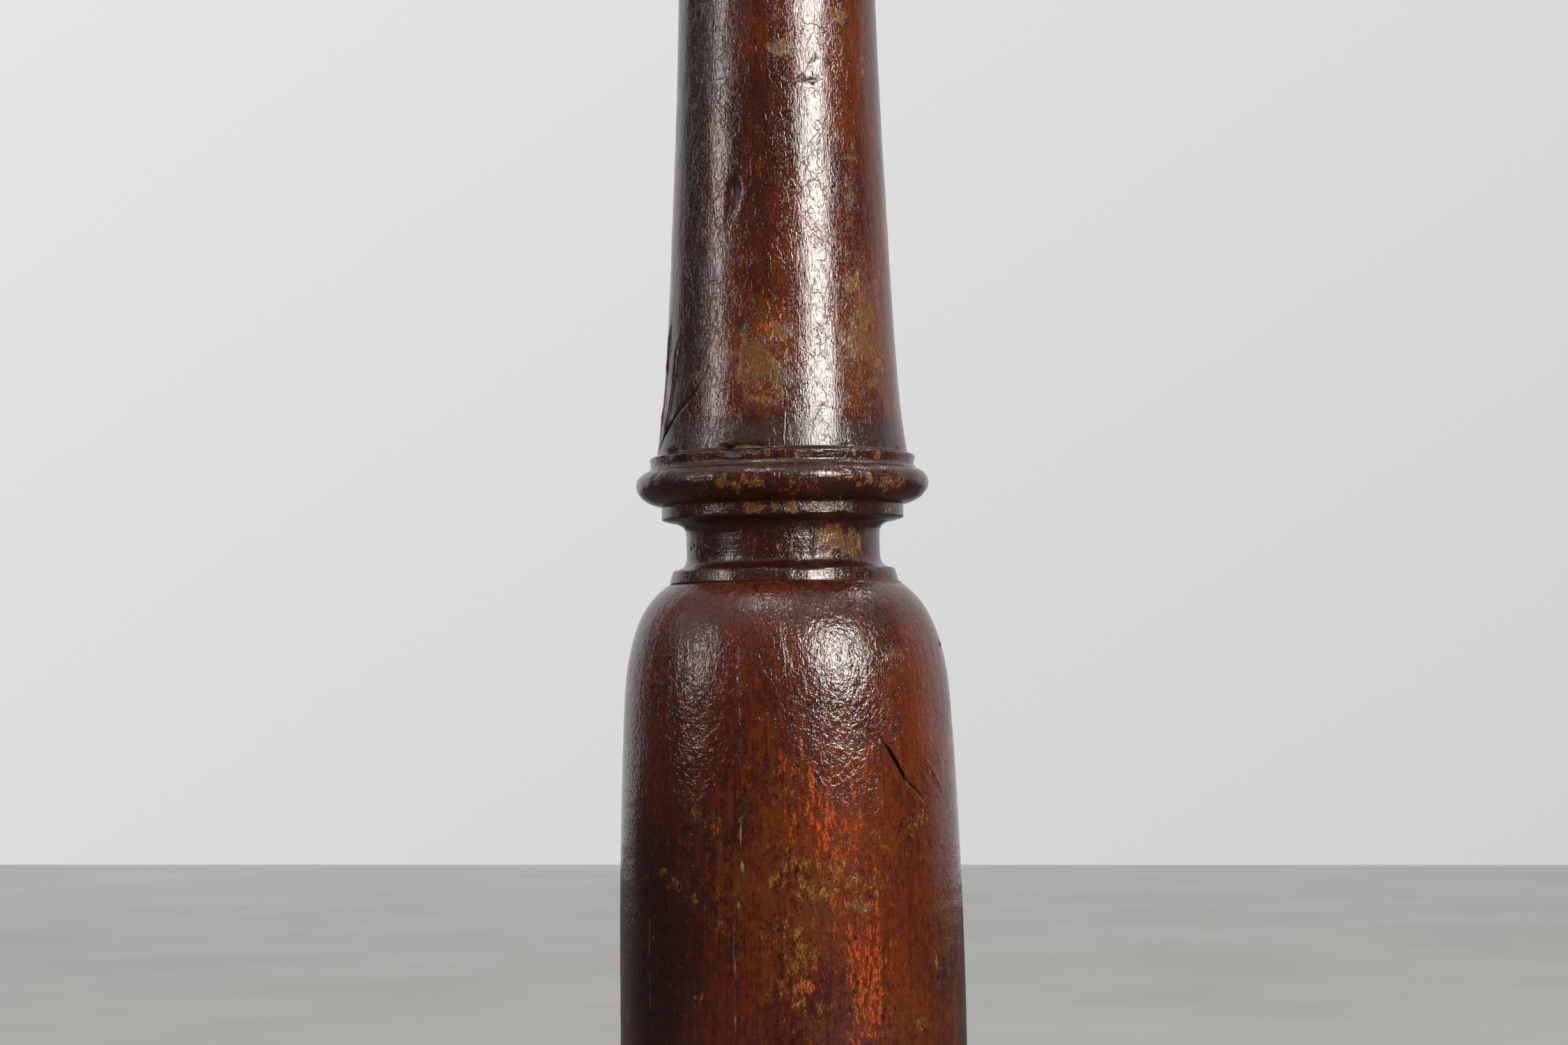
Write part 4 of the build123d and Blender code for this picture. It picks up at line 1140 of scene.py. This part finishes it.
# The dish is left flat where the pan rests on it.
pan_reach = 0.0905
daub(dish, "worn", *scattered(76, 34, (1142, 1176), (6, 18), (2, 7), (0.4, 1.0)))
daub(dish, "ember", *scattered(77, 20, (1142, 1176), (6, 18), (3, 8), (0.4, 0.9)))
band(dish, "rings", 1135, 1177, 0.4)
band(dish, "soot", 1156, 1162, 0.5)
across, back, up = vertex_places(dish).T
seat = (abs(up - pan_floor) < 0.3 * MM) & (np.hypot(across, back) < pan_reach)
store(dish, "skin", np.where(seat, 0.05, fetch(dish, "skin")))
wooden(dish, "drip_dish", 76, BOARD, grain_run=BOARD_GRAIN, edge_wear=1.0 * MM)

# ---- pricket -------------------------------------------------------------------------------------
# One forged iron spike. Its tang is driven through the dish into the cup, its collar stands in the
# pan's hole, and the candle is pushed down over its point.
spike = turning(
    "forged_pricket",
    section("pricket", 90),
    step=lambda r, z: 1.3 * MM,
    skin=lambda r, z: 1.0 if z > pan_floor + 3 * MM else 0.0,
    columns=48,
    fine=0.4 * MM,
)
place = vertex_places(spike)
turn, level = np.arctan2(place[:, 1], place[:, 0]), place[:, 2] / MM
planished = 0.05 * np.sin(2 * turn + level / 3.1) * np.sin(level / 2.3)
planished = planished + 0.05 * np.abs(np.sin(2 * turn + 0.4))
place[:, :2] *= (1 - (0.02 + planished) * fetch(spike, "skin"))[:, None]
spike.data.vertices.foreach_set("co", place.ravel())
spike.data.materials.append(IRON)
placed(spike, "pricket")

# ---- wax pan -------------------------------------------------------------------------------------
# A loose pan spun from brass sheet with its rim rolled over a wire. It rests on the dish's floor
# round the pricket and lifts straight off.
BRASS = metal("spun brass, tarnished", "#b98f4c", "#80602f", "#3d2c17", 0.24, spun=True)
flat_within = 78 * MM
pan = turning(
    "spun_wax_pan",
    section("wax_pan", 90),
    step=lambda r, z: 1.4 * MM if z > pan_floor + 0.3 * MM or r > flat_within else 3.0 * MM,
    skin=lambda r, z: 0.35 if r > 79 * MM and z > pan_floor + 1 * MM else 0.0,
    columns=260,
    fine=0.5 * MM,
)
finished(
    pan, WEATHERING, seed=81.0, material=BRASS, waviness=0.5 * MM, wave_length=60 * MM, raised_grain=0.0,
    wrinkle=0.0, edge_wear=0.0,
)
placed(pan, "wax_pan", body="pan")

# ---- room ----------------------------------------------------------------------------------------
# A pale wall and a pale floor, lit by a wide window on the right, a narrow one on the left and two
# ceiling lights, and glowing with painted light as well. None of it belongs to the object.
camera = bpy.data.objects.new("camera", bpy.data.cameras.new("camera"))
bpy.context.scene.collection.objects.link(camera)
camera.data.lens = 70
camera.data.sensor_width = 36
stand, pitch, roll = (-0.0004, -1.5225, 0.45), radians(2.553), radians(0.94)
camera.matrix_world = (
    Matrix.Translation(stand)
    @ Matrix.Rotation(pi / 2 + pitch, 4, "X")
    @ Matrix.Rotation(-roll, 4, "Z")
)
bpy.context.scene.camera = camera


def plain(name, code, rough):
    """A plain stage material, whose glow shade sets."""
    material = bpy.data.materials.new(name)
    material.use_nodes = True
    shader = material.node_tree.nodes["Principled BSDF"]
    shader.inputs["Base Color"].default_value = linear(code)
    shader.inputs["Roughness"].default_value = rough
    shader.inputs["Emission Color"].default_value = linear(code)
    return material


def slab(name, corners, material):
    """A four-cornered piece of the stage."""
    mesh = bpy.data.meshes.new(name)
    mesh.from_pydata(corners, [], [(0, 1, 2, 3)])
    mesh.materials.append(material)
    piece = bpy.data.objects.new(name, mesh)
    bpy.context.scene.collection.objects.link(piece)
    piece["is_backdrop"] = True


def shade(material, glow, slope, mottled=None, mirrored=None):
    """Gives a stage material a glow that changes evenly across it.

    For the floor, mottled is its two tones, and mirrored is its tone in the object's gloss.
    """
    tree = material.node_tree
    shader = tree.nodes["Principled BSDF"]
    where = put(tree, "ShaderNodeTexCoord").outputs["Object"]
    rise = put(tree, "ShaderNodeVectorMath", {0: where, 1: slope}, operation="DOT_PRODUCT").outputs["Value"]
    level = put(tree, "ShaderNodeMath", {0: rise, 1: glow}, operation="ADD", use_clamp=True).outputs[0]
    if mottled:
        inputs = {"Vector": where, "Scale": 2.6, "Detail": 5.0, "Roughness": 0.6}
        cloud = put(tree, "ShaderNodeTexNoise", inputs)
        tone = mixed(tree, cloud.outputs["Fac"], *mottled)
        tree.links.new(tone, shader.inputs["Emission Color"])
        rays = put(tree, "ShaderNodeLightPath").outputs
        base = mixed(tree, rays["Is Glossy Ray"], tone, mirrored)
        # The window stands over this part of the floor, which would burn out to white, so for the camera it
        # is painted darker: painted shade.
        under_window, reach, darkening = (1.1, -1.5, 0), 3.2, 0.78
        inputs = {0: where, 1: under_window}
        away = put(tree, "ShaderNodeVectorMath", inputs, operation="DISTANCE").outputs["Value"]
        inputs = {"Value": away, "From Min": 0.0, "From Max": reach, "To Min": darkening, "To Max": 0.0}
        painted_floor_shade = put(tree, "ShaderNodeMapRange", inputs, interpolation_type="SMOOTHSTEP").outputs[0]
        painted_floor_shade = maths(tree, painted_floor_shade, rays["Is Camera Ray"], "MULTIPLY")
        base = mixed(tree, painted_floor_shade, base, "#000000")
        tree.links.new(base, shader.inputs["Base Color"])
        # Painted light: the floor glows for the camera alone.
        level = maths(tree, level, rays["Is Camera Ray"], "MULTIPLY")
    tree.links.new(level, shader.inputs["Emission Strength"])
    return material


# Painted light and shade on the floor: it glows for the camera, more towards the back, and is painted
# darker under the window.
floor_finish = plain("poured concrete", "#b0b0ae", 0.7)
shade(floor_finish, glow=-0.16, slope=(0, 0.090, 0), mottled=("#989896", "#b6b6b4"), mirrored="#3a3a3a")
slab("floor", [(-9, -9, 0), (9, -9, 0), (9, 9, 0), (-9, 9, 0)], floor_finish)
away, yaw, half, tall = 5.15, radians(13.8), 9.0, 6.0
left = (-half * cos(yaw), away + half * sin(yaw))
right = (half * cos(yaw), away - half * sin(yaw))
# Painted light: the wall is a nearly black sheet that glows, fading to the right and downwards.
wall = shade(plain("painted plaster", "#101010", 0.9), glow=0.668, slope=(-0.023, 0, 0.037))
wall.node_tree.nodes["Principled BSDF"].inputs["Emission Color"].default_value = linear("#fefeff")
slab("wall", [(*left, 0), (*right, 0), (*right, tall), (*left, tall)], wall)


def lamp(name, azimuth, elevation, distance, width, height, watts, tint):
    """An area light aimed at the stem, at that azimuth, counted from the camera to the right."""
    aim = Vector((0, 0, 0.55))
    data = bpy.data.lights.new(name, "AREA")
    data.shape, data.size, data.size_y = "RECTANGLE", width, height
    data.energy, data.color = watts, linear(tint)[:3]
    light = bpy.data.objects.new(name, data)
    bpy.context.scene.collection.objects.link(light)
    a, e = radians(azimuth), radians(elevation)
    toward = Vector((sin(a) * cos(e), -cos(a) * cos(e), sin(e)))
    light.location = aim + toward * distance
    light.rotation_euler = toward.to_track_quat("Z", "Y").to_euler()
    light.visible_camera = False


lamp("window", 39, 22, 3.4, 1.45, 1.65, 205, "#fffbf4")
lamp("side window", -68, 17, 3.4, 0.5, 1.3, 30, "#f6ece9")
lamp("left room", -84, 30, 3.4, 2.2, 1.2, 6, "#f6f0f0")
lamp("ceiling front", -27, 66, 2.6, 0.22, 0.22, 13, "#ffffff")
lamp("ceiling right", 113, 54, 2.8, 0.22, 0.22, 8, "#ffffff")

# Gloss mirrors a dim room on the camera's side, while the camera itself sees a pale one.
world = bpy.data.worlds.new("room")
bpy.context.scene.world = world
world.use_nodes = True
room = world.node_tree
rays = put(room, "ShaderNodeLightPath").outputs["Is Camera Ray"]
sky = put(room, "ShaderNodeTexCoord").outputs["Generated"]
up = put(room, "ShaderNodeSeparateXYZ", {0: sky}).outputs[2]
inputs = {"Value": up, "From Min": 0.45, "From Max": 0.95, "To Min": 0.08, "To Max": 0.8}
ceiling = put(room, "ShaderNodeMapRange", inputs).outputs[0]
seen = put(room, "ShaderNodeMix", {0: rays, 2: ceiling, 3: 0.72}, data_type="FLOAT").outputs[0]
room.links.new(seen, room.nodes["Background"].inputs["Strength"])
room.nodes["Background"].inputs["Color"].default_value = linear("#ffffff")
bpy.context.scene.view_settings.view_transform = "Standard"

low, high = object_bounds()
